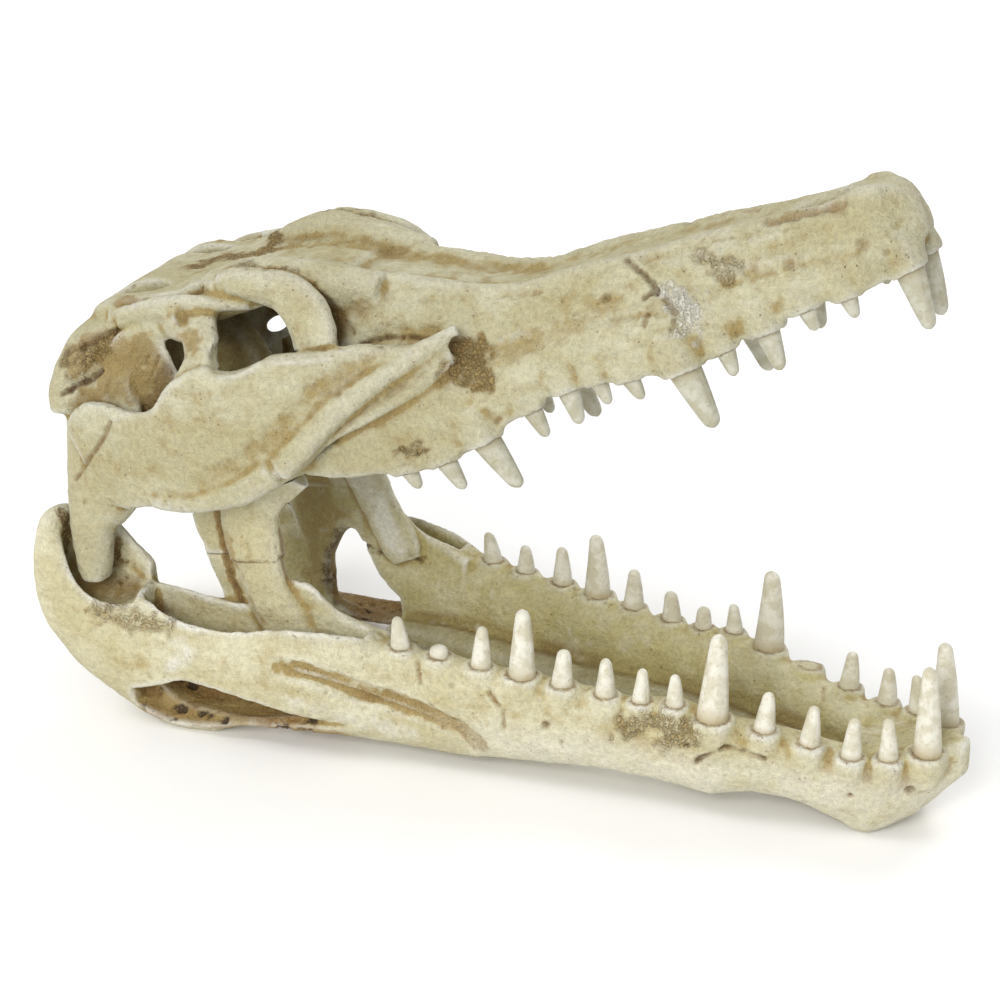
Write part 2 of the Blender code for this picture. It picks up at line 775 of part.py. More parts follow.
def build_jaw_parts():
    """Dentaries and jaw rears, with the posts trimmed at the seam and flats on z = 0."""
    jaw = body_from("jaw", build_jaw)
    fuse(jaw)
    boolean(jaw, body_from("hollows", jaw_hollows), "DIFFERENCE")
    boolean(jaw, body_from("plates", jaw_plates), "UNION")
    boolean(jaw, body_from("windows", jaw_windows), "DIFFERENCE")
    fuse(jaw, PLATE_VOXEL)
    thin_out(jaw, JAW_FACES)
    boolean(jaw, body_from("teeth", lower_teeth), "UNION")
    jaw.data.transform(Matrix.Translation((MIDDLE_X, 0, 0)))
    keep_side(jaw, (0, 0, 0), (0, 0, 1))
    boolean(jaw, seam_block(), "DIFFERENCE")
    gap = CUT / 2
    joint_x = JAW_CUT_X * MM + MIDDLE_X
    parts = []
    for name, side in SIDES:
        half = ((0, side * gap, 0), (0, side, 0))
        parts.append(part_from(jaw, "dentary_" + name, [half, ((joint_x + gap, 0, 0), (1, 0, 0))]))
        parts.append(part_from(jaw, "jaw_angle_" + name,
                               [half, ((joint_x - gap, 0, 0), (-1, 0, 0))]))
    bpy.data.objects.remove(jaw)
    return parts


def seam_block():
    """Block over both posts that trims them at the seam."""
    point, normal = seam_plane(-1)
    block = body_from("seam", lambda bm: bmesh.ops.create_cube(bm, size=1))
    size = Vector(SEAM_BLOCK_SIZE) * MM
    block.data.transform(Matrix.Diagonal((*size, 1)))
    block.data.transform(Matrix.Translation((0, 0, size.z / 2)))
    block.data.transform(Matrix.Rotation(-math.radians(SEAM_SLOPE_DEG), 4, "Y"))
    block.data.transform(Matrix.Translation((point.x, 0, point.z)))
    return block


def skull_matrix():
    """Turns the level upper skull to its gape at the jaw joint."""
    return Matrix.Translation(JOINT) @ Matrix.Rotation(-math.radians(GAPE_DEG), 4, "Y")


def build_skull_parts():
    """All parts of the upper skull, at their gape."""
    skull = body_from("skull", build_skull)
    fuse(skull)
    boolean(skull, body_from("openings", skull_openings), "DIFFERENCE")
    thin_out(skull, SKULL_FACES)
    boolean(skull, body_from("teeth", upper_teeth), "UNION")
    parts = split_skull(skull)
    bpy.data.objects.remove(skull)
    for item in parts:
        item.data.transform(skull_matrix())
    return parts


def centre_over_origin(parts):
    """Move all parts together so that x = 0 and y = 0 are the middle of their box."""
    points = np.array([vertex.co for item in parts for vertex in item.data.vertices])
    middle = (points.min(axis=0) + points.max(axis=0)) / 2
    for item in parts:
        item.data.transform(Matrix.Translation((-middle[0], -middle[1], 0)))


def make_material(name, color, roughness):
    """Principled bone material."""
    material = bpy.data.materials.new(name)
    material.use_nodes = True
    shader = material.node_tree.nodes["Principled BSDF"]
    shader.inputs["Base Color"].default_value = (*color, 1.0)
    shader.inputs["Roughness"].default_value = roughness
    shader.inputs["Metallic"].default_value = 0.0
    material.diffuse_color = (*color, 1.0)
    return material


def main():
    for item in list(bpy.data.objects):
        bpy.data.objects.remove(item)
    parts = build_skull_parts() + build_jaw_parts()
    for name, side in SIDES:
        parts.append(build_flange(name, side))
    centre_over_origin(parts)
    for item in parts:
        family = item.name.replace("_right", "").replace("_left", "")
        color, roughness = BONE_COLORS[family]
        item.data.materials.clear()
        item.data.materials.append(make_material(item.name, color, roughness))


main()
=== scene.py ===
"""Looks of the crocodile skull: sculpted bones, teeth, materials, soft light and camera.

Bones are modelled as signed distance fields, negative inside, and turned into meshes that are
parted where the solid model is parted. The upper skull is sculpted level, in its own frame
(u forward from the jaw joint, y outward, v up), and the jaw in the frame of the solid model.
Tables are in millimetres, for the side y > 0, and are mirrored to the other side.
"""

import math

import bpy
import numpy as np
import openvdb
from mathutils import Matrix, Vector
from mathutils.geometry import delaunay_2d_cdt


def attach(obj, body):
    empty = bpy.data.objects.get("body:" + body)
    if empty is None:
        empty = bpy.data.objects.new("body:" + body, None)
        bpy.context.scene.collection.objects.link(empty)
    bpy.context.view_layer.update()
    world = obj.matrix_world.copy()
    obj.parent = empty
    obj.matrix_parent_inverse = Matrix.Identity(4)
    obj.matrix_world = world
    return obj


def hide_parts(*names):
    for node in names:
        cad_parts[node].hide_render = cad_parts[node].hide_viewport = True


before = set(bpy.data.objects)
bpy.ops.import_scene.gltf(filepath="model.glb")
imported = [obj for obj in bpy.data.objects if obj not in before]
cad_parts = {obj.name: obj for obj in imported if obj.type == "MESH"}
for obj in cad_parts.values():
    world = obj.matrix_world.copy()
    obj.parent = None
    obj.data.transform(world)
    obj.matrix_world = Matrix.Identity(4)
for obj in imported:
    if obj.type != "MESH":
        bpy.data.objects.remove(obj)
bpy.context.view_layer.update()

MM = 0.001
GRAIN = 0.95             # grid step of the distance fields
FAR = 7.0                                       # distances are known up to this far from a surface
SNAP = 0.03                                     # points this close to a cut are moved off it
BEAM_POINTS, LIMB_POINTS, PLUG_POINTS = 36, 24, 28   # round a cross-section
BEAM_STEPS, LIMB_STEPS = 4, 5                   # cross-sections from one row of a table to the next
LATTICE_SIDE, LATTICE_START = 32, 1000.0        # of the noise
SIDES = (("right", -1), ("left", 1))
RIGHT, LEFT, BOTH = (-1,), (1,), (-1, 1)
SKULL_SEED, JAW_SEED, FLANGE_SEED, TOOTH_SEED = 1, 2, 3, 100
TOOTH_SIDES, TOOTH_LEVELS = 36, 26
TOOTH_RIBS = (3, 5, 8, 11, 14)                  # waves round a tooth
ROOT_LEVELS = (-6.0, -3.0, -1.0)
TIGHT, WIDE = 2.5, 9.0                          # reach of the two tests for hollows
TINTS = ("hollow", "depth", "rust", "pale", "olive", "dark", "grit", "painted_shade")

# Placing of the two frames in the solid model's frame.
GAPE = math.radians(28.0)
JOINT = Vector((-204.8, 0.0, 74.0))
MIDDLE_X = -9.8
CENTRE = Vector((-0.14, 0.05, 0.0))

# Planes that part the bones.
SNOUT_CUT_U = 185.0
TIP_CUT_U = 386.0
CHEEK_CUT_Y = 57.0
PALATE_CUT_V = 9.8
ROOF_CUT_V = 76.0
ORBIT_CUT_U = 120.0
QUADRATE_CUT = ((28.0, 25.0), (62.0, 86.0))
JAW_CUT_X = -47.0
SEAM_POINT = (-109, 52, 95)
SEAM_SLOPE = math.radians(12.0)
SEAM_END_X = -170                               # the jaw angle rises past the seam behind this

SKULL_LOW, SKULL_HIGH = (-14, -96, -18), (472, 96, 140)
JAW_LOW, JAW_HIGH = (-234, -98, -6), (254, 98, 120)
FLANGE_LOW, FLANGE_HIGH = (-170, -22, 80), (-60, 22, 162)   # round the flange's own middle
FLANGE_Y = 50

# Snout: u, margin y, margin v, flank y, flank v, ridge y, ridge v, crown v, palate v
SNOUT = (
    (150, 40, 24, 44, 50, 30, 104, 102, 22),
    (170, 46, 12, 50, 44, 30, 98, 96, 16),
    (190, 57, -2, 58, 30, 28, 90, 87, 10),
    (210, 56, -6, 58, 28, 25, 83, 79, 6),
    (230, 53, -5, 54, 24, 23, 73, 69, 5),
    (250, 50, -2, 51, 22, 22, 62, 59, 6),
    (270, 47, 3, 48, 22, 22, 56, 53, 9),
    (290, 45, 5, 46, 24, 22, 53.5, 50.5, 11),
    (310, 45, 1, 46, 22, 22, 52, 49, 9),
    (328, 46, -3, 46, 19, 22, 49.5, 46.5, 6),
    (345, 44, -5.5, 44, 17, 21, 48, 45, 4),
    (365, 37, -4, 37, 17, 19, 46, 43, 4),
    (385, 33, -3, 33, 16, 17, 43.5, 41.5, 4),
    (405, 31, 0, 32, 16, 16, 40.5, 40, 5),
    (422, 28, -2, 29.5, 15, 14, 38.5, 38, 4),
    (436, 25, -4, 26, 14, 13, 38, 37.5, 3),
    (448, 18, -3, 20, 14, 11, 37.5, 38, 3),
    (458, 10, 1, 12, 14, 6, 33, 35, 6),
    (463.5, 3, 9, 5, 15, 2, 25, 26, 12),
)
# Skull table and forehead: u, half width, edge v, crown v, underside v
TABLE = (
    (47, 36, 122, 121, 104),
    (57, 47, 126, 126, 104),
    (72, 51, 127, 128, 104),
    (95, 50, 120, 121, 100),
    (120, 48, 114, 115, 96),
    (145, 44, 110, 108, 90),
    (165, 38, 104, 102, 84),
    (185, 32, 94, 92, 70),
)
# Beams on the middle plane: u, half width, low v, high v
BRAINCASE = (
    (28, 17, 62, 112), (42, 24, 44, 118), (70, 21, 30, 118), (90, 14, 24, 112), (104, 9, 18, 84),
    (118, 8, 14, 34), (190, 9, 10, 26),
)
PALATE = (
    (62, 18, 10.5, 26), (80, 40, 11, 23), (100, 56, 11, 22), (122, 58, 11, 22), (140, 40, 10.5, 21),
    (160, 20, 10.5, 20), (200, 18, 9, 18), (250, 20, 6, 16),
)
# Beams at the sides: u, inner y, outer y, low v, high v
CHEEK = (
    (33, 72, 80, 37, 80), (44, 73, 82, 30, 86), (58, 75, 84, 27.5, 86), (70, 77, 85, 25, 80),
    (80, 78, 86, 22.5, 74), (92, 78, 87, 18.5, 73), (104, 78, 87, 16, 78.5),
    (118, 77, 86.5, 14.5, 82), (134, 75, 84.5, 14, 82), (150, 71, 81.5, 17, 78.5),
    (166, 66, 77.5, 22.5, 73), (182, 60, 72, 25, 67), (200, 54, 66, 26, 62),
    (220, 48, 58.5, 29, 52), (240, 42, 50.5, 34, 43),
)
PROCESS = (
    (145, 60, 67, 11.5, 20), (165, 58, 67, 3.5, 24), (185, 55, 65, -1.5, 28), (205, 50, 60, -6, 30),
    (225, 44, 55, -6, 30),
)
TEMPLE_WEB = (
    (76, 48, 54, 107, 116), (88, 49, 56.5, 101, 116), (102, 50, 59.5, 97, 114),
    (114, 52, 65, 93, 110),
)
QUADRATE_WING = (
    (60, 50, 60, 62, 106), (72, 54, 62.5, 62, 110), (84, 57.5, 62, 64, 111),
    (94, 57.8, 60.6, 66, 110), (98, 58, 59.4, 74, 107),
)
# Round members as paths of u, y, v, radius along u, radius across
CONDYLE = ((22, 0, 74, 8, 8), (36, 0, 72, 13, 13))
QUADRATE = (
    (60, 42, 104, 18, 9), (53, 58, 90, 24, 8), (43, 69, 66, 24, 6.5), (27, 74, 44, 16, 7),
    (14, 76, 22, 12, 8), (6, 76, 8, 9.5, 8.5), (3, 76, 1, 7, 8),
)
QUADRATE_BODY = (
    (92, 18, 52, 18, 11), (66, 38, 48, 22, 11), (42, 58, 42, 18, 10), (24, 71, 30, 12, 9),
)
WING = (
    (78, 34, 112, 13, 9), (56, 47, 112, 13, 9), (40, 56, 103, 13, 9), (30, 63, 92, 11, 8),
    (27, 66, 84, 8, 7),
)
OCCIPUT = ((48, 0, 110, 9, 12), (44, 24, 106, 9, 11), (42, 46, 98, 9, 12))
EDGE_BAR = (
    (70, 50, 117, 7, 6), (84, 51, 114.5, 5.5, 5), (104, 51, 112, 5.5, 5), (124, 50, 106, 5.5, 5),
    (140, 47, 101, 6, 5), (158, 43, 99, 7, 6),
)
POSTORBITAL = (
    (108, 47, 110, 12, 6), (117, 55, 102, 13, 6), (121, 65, 92, 13.5, 6), (122, 77, 78, 16, 5),
)
LACRIMAL = ((158, 36, 99, 7, 9), (168, 42, 86, 7, 8), (177, 52, 70, 8, 8), (180, 61, 58, 9, 8))
EYE_HUMP = (
    (104, 38, 107, 9, 10), (124, 40, 107, 12, 11), (148, 40, 106, 12, 11.5), (166, 37, 99, 11, 12),
    (184, 32, 89, 11, 11), (204, 27, 76, 11, 8),
)
ECTOPTERYGOID = ((118, 48, 16, 12, 6), (134, 62, 18, 12, 5), (146, 74, 24, 10, 5))
TUBERA = ((46, 12, 40, 9, 9), (46, 6, 60, 9, 9))
HORN = (
    (75, 56, 116.5, 4, 3.5), (84, 57, 116.5, 5.5, 4.5), (100, 56.5, 114.5, 5.5, 4.5),
    (118, 56, 110.5, 5, 4.5), (136, 53.5, 103.5, 4, 4), (148, 50, 98, 3, 3),
)
BLADE = (
    (128, 46, 110.5, 3, 2.4), (138, 49.5, 112.3, 5, 4), (148, 51.2, 110, 6.5, 5),
    (158, 51.3, 104.8, 8, 5.4), (168, 50.5, 98, 10, 5.6), (176, 52.5, 89, 12, 5.8),
    (180, 56, 78, 13, 5.6), (179, 60, 68, 12, 5.2),
)
CHEEK_RIM = (
    (66, 82.5, 29, 3, 3), (86, 84, 22.5, 4.5, 4), (105, 85, 19.5, 5.5, 4.6),
    (124, 84.8, 19.5, 6.5, 5), (144, 81.3, 23, 7, 5.4), (165, 76.5, 31, 7, 5.6),
    (184, 70.5, 38.5, 6.5, 5.6), (207, 62.5, 43.5, 5.5, 5), (228, 53.5, 47, 4.5, 4.5),
    (246, 44, 49, 3.5, 3.5),
)

# Openings of the upper skull, as such paths.
ORBIT = (
    (138, 44, 74, 10, 12), (150, 53, 80, 17, 11), (151, 64, 83, 19, 10), (151, 92, 82, 20, 9.5),
)
ORBIT_DEPTH = ((148, 14, 78, 19, 17), (148, 34, 80, 19, 17), (148, 50, 82, 17, 12))
LOWER_FENESTRA = ((96, 60, 90, 17, 11), (98, 74, 91, 18, 11), (100, 95, 92, 18, 11))
LOWER_FENESTRA_TIP = ((80, 58, 84, 8, 8), (80, 95, 84, 8, 8))
LEFT_TEMPLE_WINDOW = (
    (94, 36, 74, 9, 7), (86, 50, 72.5, 6.5, 4), (78, 60, 71.5, 6, 3.8), (50, 100, 66, 8, 6),
)
FORAMEN_MAGNUM = ((15, 0, 93, 6.5, 6.5), (55, 0, 92, 6.5, 6.5))
ROOF_SLOT = (
    (90, 49, 118.5, 3, 2.5), (102, 49.5, 117, 6.5, 4), (115, 50.3, 116, 7, 4.2),
    (127, 50.5, 114.5, 4, 3),
)
REAR_SLOT = ((78, 52, 120.5, 2, 2), (88, 54, 119.5, 3.5, 3), (98, 54.5, 118, 2, 2))
EYE_HOLLOW = ((130, 58, 107, 3, 3), (142, 57.5, 103, 5.5, 5.5), (154, 56, 97, 4.5, 4.5))
# Upright holes: u, y, radius along u, radius across, low v, high v
UPPER_FENESTRA = (78, 31, 15, 8, 92, 140)
SUBORBITAL = (172, 33, 28, 10, -20, 60)
NARIS = (424, 0, 15, 9, 26, 60)
CHOANA = (78, 0, 9, 8, 0, 18)

# Upper teeth: u, y, length, base radius, forward lean in degrees
UPPER_TEETH = (
    (193, 58.5, 13, 5.0, 6),
    (213, 55.5, 18, 5.6, 8),
    (236, 52, 29, 7.6, 12),
    (264, 47.5, 16, 5.2, 4),
    (285, 45, 19, 5.8, -6),
    (301, 44.5, 13, 4.6, 0),
    (317, 45, 12.5, 4.8, 6),
    (343, 43, 32, 8.2, 4),
    (363, 37, 14.5, 5.0, -3),
    (384, 33, 21, 6.2, -4),
    (405, 31, 12.5, 4.8, 0),
    (424, 27.5, 11.5, 4.6, -2),
    (450, 14.5, 30.5, 7.0, -3),
)
UPPER_TOOTH_INSET = 3.0
UPPER_MARGIN = (SNOUT, 2)                       # table and column with the height of the margin

# Beams of the lower jaw: x, inner y, outer y, low z, high z
RAMUS = (
    (-225.5, 66, 84, 60, 96),
    (-220, 58, 91, 48, 110),
    (-212, 54, 93, 36, 111),
    (-201, 52, 93, 25, 94),
    (-190, 50, 92, 17, 81),
    (-175, 48, 90, 7, 74.5),
    (-153, 46, 89, -1.2, 74),
    (-131, 45, 87, -0.8, 71),
    (-110, 44, 84, 5.5, 71),
    (-90, 44, 81, 7.5, 72.5),
    (-70, 43, 77, 9, 72),
    (-50, 42, 71, 9, 69),
    (-32, 41, 66, 8.5, 62),
    (0, 38, 61, 8, 60),
    (30, 34, 57, 10, 58),
    (60, 31, 53, 12, 55.5),
    (90, 28, 49, 13.3, 54),
    (110, 25, 48, 12, 57),
    (130, 23, 47, 10.5, 53),
    (150, 19, 42, 13.5, 50.5),
    (170, 14, 37, 12, 47),
    (190, 8, 34, 5, 42.5),
    (205, 3, 31, -1.6, 41.5),
    (220, -3, 25, 5, 44.5),
    (234, -3, 15, 18, 46),
    (245.5, -2, 6, 32, 49),
)
SHELF = (
    (-85, 34, 54, 10, 20), (-60, 30, 52, 10, 24), (-30, 24, 52, 9, 26), (20, 16, 46, 10, 26),
    (80, 10, 38, 13, 27), (140, 4, 30, 14, 26), (196, -6, 20, 6, 24),
)
SOCKET_WALL = (
    (-219, 55, 64, 84, 102), (-206, 54, 62, 60, 104.5), (-193, 53, 61, 55, 102),
    (-181, 53, 61, 55, 92), (-170, 53, 61, 56, 82),
)
INNER_LEDGE = ((-158, 46, 52, 30, 57), (-150, 46, 52, 30, 62), (-134, 46, 52, 30, 64))
INNER_CREST = (
    (-98, 47, 52, 40, 84), (-82, 47, 52, 40, 84), (-68, 46, 52, 40, 73), (-40, 42, 50, 40, 64),
)
# Openings of the lower jaw, as such beams; those of each side are its own.
TROUGH = (
    (-166, 62, 74, 30, 84), (-150, 56, 80, 14, 90), (-120, 54, 78, 12, 90), (-90, 53, 72.5, 14, 90),
    (-65, 52, 66.5, 22, 90), (-48, 52, 60, 44, 90),
)
RIGHT_FENESTRA = (
    (-168, 74, 96, 13, 23), (-150, 73, 96, 6.5, 30), (-138, 72, 95, 6.5, 34),
    (-112, 72, 92, 10, 30.5), (-80, 70, 88, 16, 24), (-50, 70, 82, 18.5, 20),
)
LEFT_FENESTRA = (
    (-160, 70, 96, 12, 25), (-142, 70, 95, 8, 42), (-126, 70, 95, 9, 52), (-108, 70, 93, 10, 44),
    (-90, 70, 90, 13, 32), (-72, 68, 88, 17, 25),
)
RIGHT_WINDOW = (
    (-122, 36, 62, 20, 38), (-108, 36, 62, 15, 42), (-92, 36, 62, 15, 38), (-81, 36, 62, 20, 30),
)
LEFT_WINDOW = (
    (-124, 36, 62, 22, 48), (-117, 36, 62, 17, 62), (-108, 36, 62, 14, 69), (-101, 36, 62, 13, 58),
    (-92, 36, 62, 14, 43), (-81, 36, 62, 20, 33),
)
JAW_WINDOWS = {"right": (RIGHT_FENESTRA, RIGHT_WINDOW), "left": (LEFT_FENESTRA, LEFT_WINDOW)}
# Round members and hollows of the jaw: x, y, z, radius along x, radius across
CHIN = ((188, 0, 26, 14, 14), (206, 0, 25, 16, 20), (226, 0, 29, 14, 15))
SOCKET = (
    (-200, 75, 120, 9, 11), (-197, 75, 95, 13, 12), (-191, 75, 80, 16, 13),
    (-172, 74, 80, 12, 12.5), (-150, 72, 90, 12, 11.5),
)
OUTER_GROOVE = (
    (-88, 82, 51, 3, 3), (-80, 80.5, 51, 5.5, 4.4), (-70, 78.2, 50.3, 6, 4.8),
    (-59, 75.2, 46.7, 6.2, 5), (-48, 72.2, 42, 6.2, 5), (-36, 68.8, 39.2, 6, 4.9),
    (-24, 66.2, 36.9, 5.6, 4.7), (-9, 63.6, 32.4, 5, 4.3), (7, 61.2, 27.1, 4.4, 3.8),
    (18, 59.6, 21, 3, 2.8),
)
GROOVE_CREST = (
    (-78, 76.4, 50.5, 1.2, 1.2), (-59, 70.7, 46.2, 1.5, 1.4), (-36, 64.3, 38.6, 1.5, 1.4),
    (-9, 59.7, 31.8, 1.4, 1.3), (12, 57.4, 24, 1, 1),
)
FLANGE = (
    (-99, 48, 150, 21, 8), (-110.5, 50, 132, 17.5, 8), (-115, 51, 118, 16.5, 8.4),
    (-112, 52, 102, 15.8, 8.8), (-108.5, 52, 88, 15.4, 8.8),
)
POST = (
    (-115, 52, 112, 14, 7.4), (-111, 52, 97, 13.5, 7.4), (-105.5, 52, 78, 13.5, 7.4),
    (-94, 52, 58, 14.5, 7.4), (-85, 52, 40, 14.5, 6.4),
)
FAR_STRUT = (
    (-107, 45, 122, 11, 4), (-100, 44.5, 102, 11.5, 4.2), (-90, 44, 84, 12, 4.2),
    (-79, 44, 65, 12, 4.4), (-75, 44, 57, 9, 3),
)
# Plates behind the braces, above and below the seam; the far one is wider.
FLANGE_SHEET = {
    "right": ((-127, 45, 152, 27, 2.6), (-128, 45.5, 116, 26, 2.6), (-124, 45.8, 100, 23.5, 2.6),
              (-122.8, 46, 90, 21.8, 2.6)),
    "left": ((-127, 45, 152, 27, 2.6), (-129, 45.5, 116, 26, 2.6), (-126, 46, 90, 26, 2.6)),
}
POST_SHEET = {
    "right": (*FLANGE_SHEET["right"][1:], (-118, 46, 77, 19.5, 2.6), (-114, 46.3, 65, 20, 2.6),
              (-108, 47, 38, 27, 2.8)),
    "left": (*FLANGE_SHEET["left"][1:], (-118, 46.5, 65, 26, 2.6), (-108, 47, 38, 27, 2.8)),
}

# Lower teeth: x, y, length, base radius, forward lean in degrees
LOWER_TEETH = (
    (-29, 54, 18, 5.4, -6),
    (-9, 52, 17, 5.2, 2),
    (13, 50, 23, 5.6, 2),
    (34, 48, 37, 7.2, 1),
    (55, 46, 24, 5.8, 3),
    (77, 43.5, 21, 5.4, 0),
    (95, 42, 19, 4.8, 2),
    (112, 41.5, 17.5, 4.8, 0),
    (131, 39.5, 46, 8.0, 3),
    (155, 34.5, 22, 5.6, 6),
    (177, 31, 22, 5.4, 5),
    (197, 28.5, 22, 5.4, 3),
    (214, 24.5, 22, 5.2, -2),
    (230, 16, 46, 7.2, -1),
)
LOWER_MARGIN = (RAMUS, 4)
# Share of the length that is left of broken teeth, by side and place along the jaw.
BROKEN = {("right", -9): 0.45, ("left", 77): 0.86, ("left", 95): 0.72, ("right", 55): 0.88,
          ("left", 155): 0.0}


# ---------------------------------------------------------------- shapes

def smooth_rows(rows, steps):
    """Rows with Catmull-Rom rows added between each pair."""
    table = np.array(rows, dtype=float)
    padded = np.vstack((2 * table[0] - table[1], table, 2 * table[-1] - table[-2]))
    result = []
    for index in range(1, len(padded) - 2):
        before, here, after, beyond = padded[index - 1:index + 3]
        for step in range(steps):
            t = step / steps
            result.append(0.5 * (2 * here + (after - before) * t
                                 + (2 * before - 5 * here + 4 * after - beyond) * t ** 2
                                 + (3 * here - before - 3 * after + beyond) * t ** 3))
    result.append(table[-1])
    return result


def oval(count, power):
    """Unit oval, rounder for power 2 and squarer for higher powers."""
    angles = 2 * np.pi * (np.arange(count) + 0.5) / count
    c, s = np.cos(angles), np.sin(angles)
    return np.stack((np.sign(c) * np.abs(c) ** (2 / power),
                     np.sign(s) * np.abs(s) ** (2 / power)), axis=1)


def rounded(ring, passes=2):
    """Closed ring with its corners cut, pass by pass."""
    points = np.array(ring, dtype=float)
    for _ in range(passes):
        after = np.roll(points, -1, axis=0)
        points = np.stack((0.75 * points + 0.25 * after,
                           0.25 * points + 0.75 * after), axis=1).reshape(-1, 3)
    return points


def loft(rings):
    """Closed triangle skin over rings of equal point counts."""
    rings = [np.asarray(ring, dtype=float) for ring in rings]
    count = len(rings[0])
    points = np.vstack(rings + [rings[0].mean(axis=0), rings[-1].mean(axis=0)])
    here = np.arange(count)
    after = (here + 1) % count
    faces = []
    for level in range(len(rings) - 1):
        a, b = level * count + here, level * count + after
        faces += [np.stack((a, b, b + count), 1), np.stack((a, b + count, a + count), 1)]
    first, last = len(points) - 2, len(points) - 1
    top = (len(rings) - 1) * count
    faces.append(np.stack((after, here, np.full(count, first)), 1))
    faces.append(np.stack((top + here, top + after, np.full(count, last)), 1))
    return points, np.vstack(faces)


def beam(rows, side=1, power=3.0):
    """Bar along the first axis through rows of (x, inner y, outer y, low z, high z)."""
    shape = oval(BEAM_POINTS, power)
    rings = []
    for x, inner, outer, low, high in smooth_rows(rows, BEAM_STEPS):
        y = side * ((inner + outer) + (outer - inner) * shape[:, 0]) / 2
        z = ((low + high) + (high - low) * shape[:, 1]) / 2
        rings.append(np.stack((np.full(len(shape), x), y, z), 1))
    return loft(rings)


def centred(rows, power=3.0):
    """Bar on the middle plane through rows of (x, half width, low z, high z)."""
    return beam([(x, -half, half, low, high) for x, half, low, high in rows], power=power)


def limb(path, side=1, power=2.2):
    """Round member along a path of (x, y, z, radius along x, radius across)."""
    rows = smooth_rows(path, LIMB_STEPS)
    shape = oval(LIMB_POINTS, power)
    rings = []
    for index, (x, y, z, along, across) in enumerate(rows):
        ahead = rows[min(index + 1, len(rows) - 1)]
        behind = rows[max(index - 1, 0)]
        tangent = Vector(ahead[:3] - behind[:3]).normalized()
        forward = Vector((1, 0, 0)) - tangent * tangent.x
        if forward.length < 0.3:
            forward = Vector((0, 0, 1)) - tangent * tangent.z
        forward.normalize()
        sideways = tangent.cross(forward)
        ring = (np.array((x, y, z)) + shape[:, :1] * along * np.array(forward)
                + shape[:, 1:] * across * np.array(sideways))
        rings.append(ring * (1, side, 1))
    return loft(rings)


def plug(u, y, along, across, low, high, side=1):
    """Upright oval column."""
    shape = oval(PLUG_POINTS, 2)
    return loft([np.stack((u + along * shape[:, 0], side * y + across * shape[:, 1],
                           np.full(len(shape), v)), 1) for v in (low, high)])


class Volume:
    """Signed distance in millimetres on a grid, negative inside."""

    def __init__(self, low, high):
        self.low = np.array(low, dtype=float)
        self.size = np.ceil((np.array(high) - self.low) / GRAIN).astype(int) + 1
        self.field = np.full(self.size, FAR, dtype=np.float32)

    def block(self, shape):
        """Slices of the grid round a shape, and the shape's own distances there."""
        points, faces = shape
        cells = (points - self.low) / GRAIN
        margin = FAR / GRAIN + 1
        start = np.clip(np.floor(cells.min(0) - margin), 0, self.size - 1).astype(int)
        stop = np.clip(np.ceil(cells.max(0) + margin) + 1, 1, self.size).astype(int)
        grid = openvdb.FloatGrid.createLevelSetFromPolygons(
            (cells - start).astype(np.float32), triangles=faces.astype(np.uint32),
            transform=openvdb.createLinearTransform(voxelSize=1.0), halfWidth=FAR / GRAIN)
        values = np.empty(stop - start, dtype=np.float32)
        grid.copyToArray(values)
        window = tuple(slice(a, b) for a, b in zip(start, stop))
        return window, values * GRAIN

    def join(self, shape, blend=3.0, sign=1):
        """Add a shape, with a fillet of about the given size."""
        window, other = self.block(shape)
        mine = sign * self.field[window]
        overlap = np.maximum(blend - np.abs(mine - other), 0) / blend
        self.field[window] = sign * (np.minimum(mine, other) - overlap ** 2 * blend / 4)

    def cut(self, shape, blend):
        """Take a shape away, with its rim rounded by about the given size."""
        self.join(shape, blend, -1)

    def soften(self, passes=1):
        """Blur the field a little, which removes facets."""
        for _ in range(passes):
            for axis in range(3):
                f = np.moveaxis(self.field, axis, 0)
                f[1:-1] = 0.25 * (f[:-2] + f[2:]) + 0.5 * f[1:-1]

    def surface(self):
        """Points in millimetres and triangles of the surface."""
        grid = openvdb.FloatGrid(FAR)
        grid.copyFromArray(self.field)
        grid.gridClass = openvdb.GridClass.LEVEL_SET
        points, triangles, quads = grid.convertToPolygons(isovalue=0.0, adaptivity=0.0)
        faces = [quads[:, [0, 1, 2]], quads[:, [0, 2, 3]]]
        if len(triangles):
            faces.append(triangles)
        faces = np.vstack(faces).astype(np.int64)
        return points.astype(float) * GRAIN + self.low, faces

    def hollowness(self, points, radius):
        """Share of solid round each point: 0.5 on a flat, more in a hollow, less on an edge."""
        solid = np.clip(0.5 - self.field / GRAIN, 0, 1)
        reach = max(1, int(round(radius / GRAIN)))
        for axis in range(3):
            solid = running_mean(solid, reach, axis)
        return sample(solid, (points - self.low) / GRAIN)


def running_mean(values, reach, axis):
    """Mean over a window of 2 * reach + 1 cells along one axis, edges repeated."""
    v = np.moveaxis(values, axis, 0)
    padded = np.concatenate((np.repeat(v[:1], reach + 1, 0), v, np.repeat(v[-1:], reach, 0)))
    total = np.cumsum(padded, axis=0, dtype=np.float32)
    width = 2 * reach + 1
    return np.moveaxis((total[width:] - total[:-width]) / width, 0, axis)


def sample(values, cells):
    """Trilinear samples of a grid."""
    limit = np.array(values.shape) - 2
    base = np.clip(np.floor(cells).astype(int), 0, limit)
    return blended(values, base, np.clip(cells - base, 0, 1))


def blended(values, base, t):
    """Values of a grid at base + t, mixed from the eight cells round it."""
    total = np.zeros(len(base))
    for corner in range(8):
        bits = np.array([(corner >> axis) & 1 for axis in range(3)])
        weight = np.prod(np.where(bits, t, 1 - t), axis=1)
        i, j, k = ((base + bits) % values.shape).T
        total += weight * values[i, j, k]
    return total


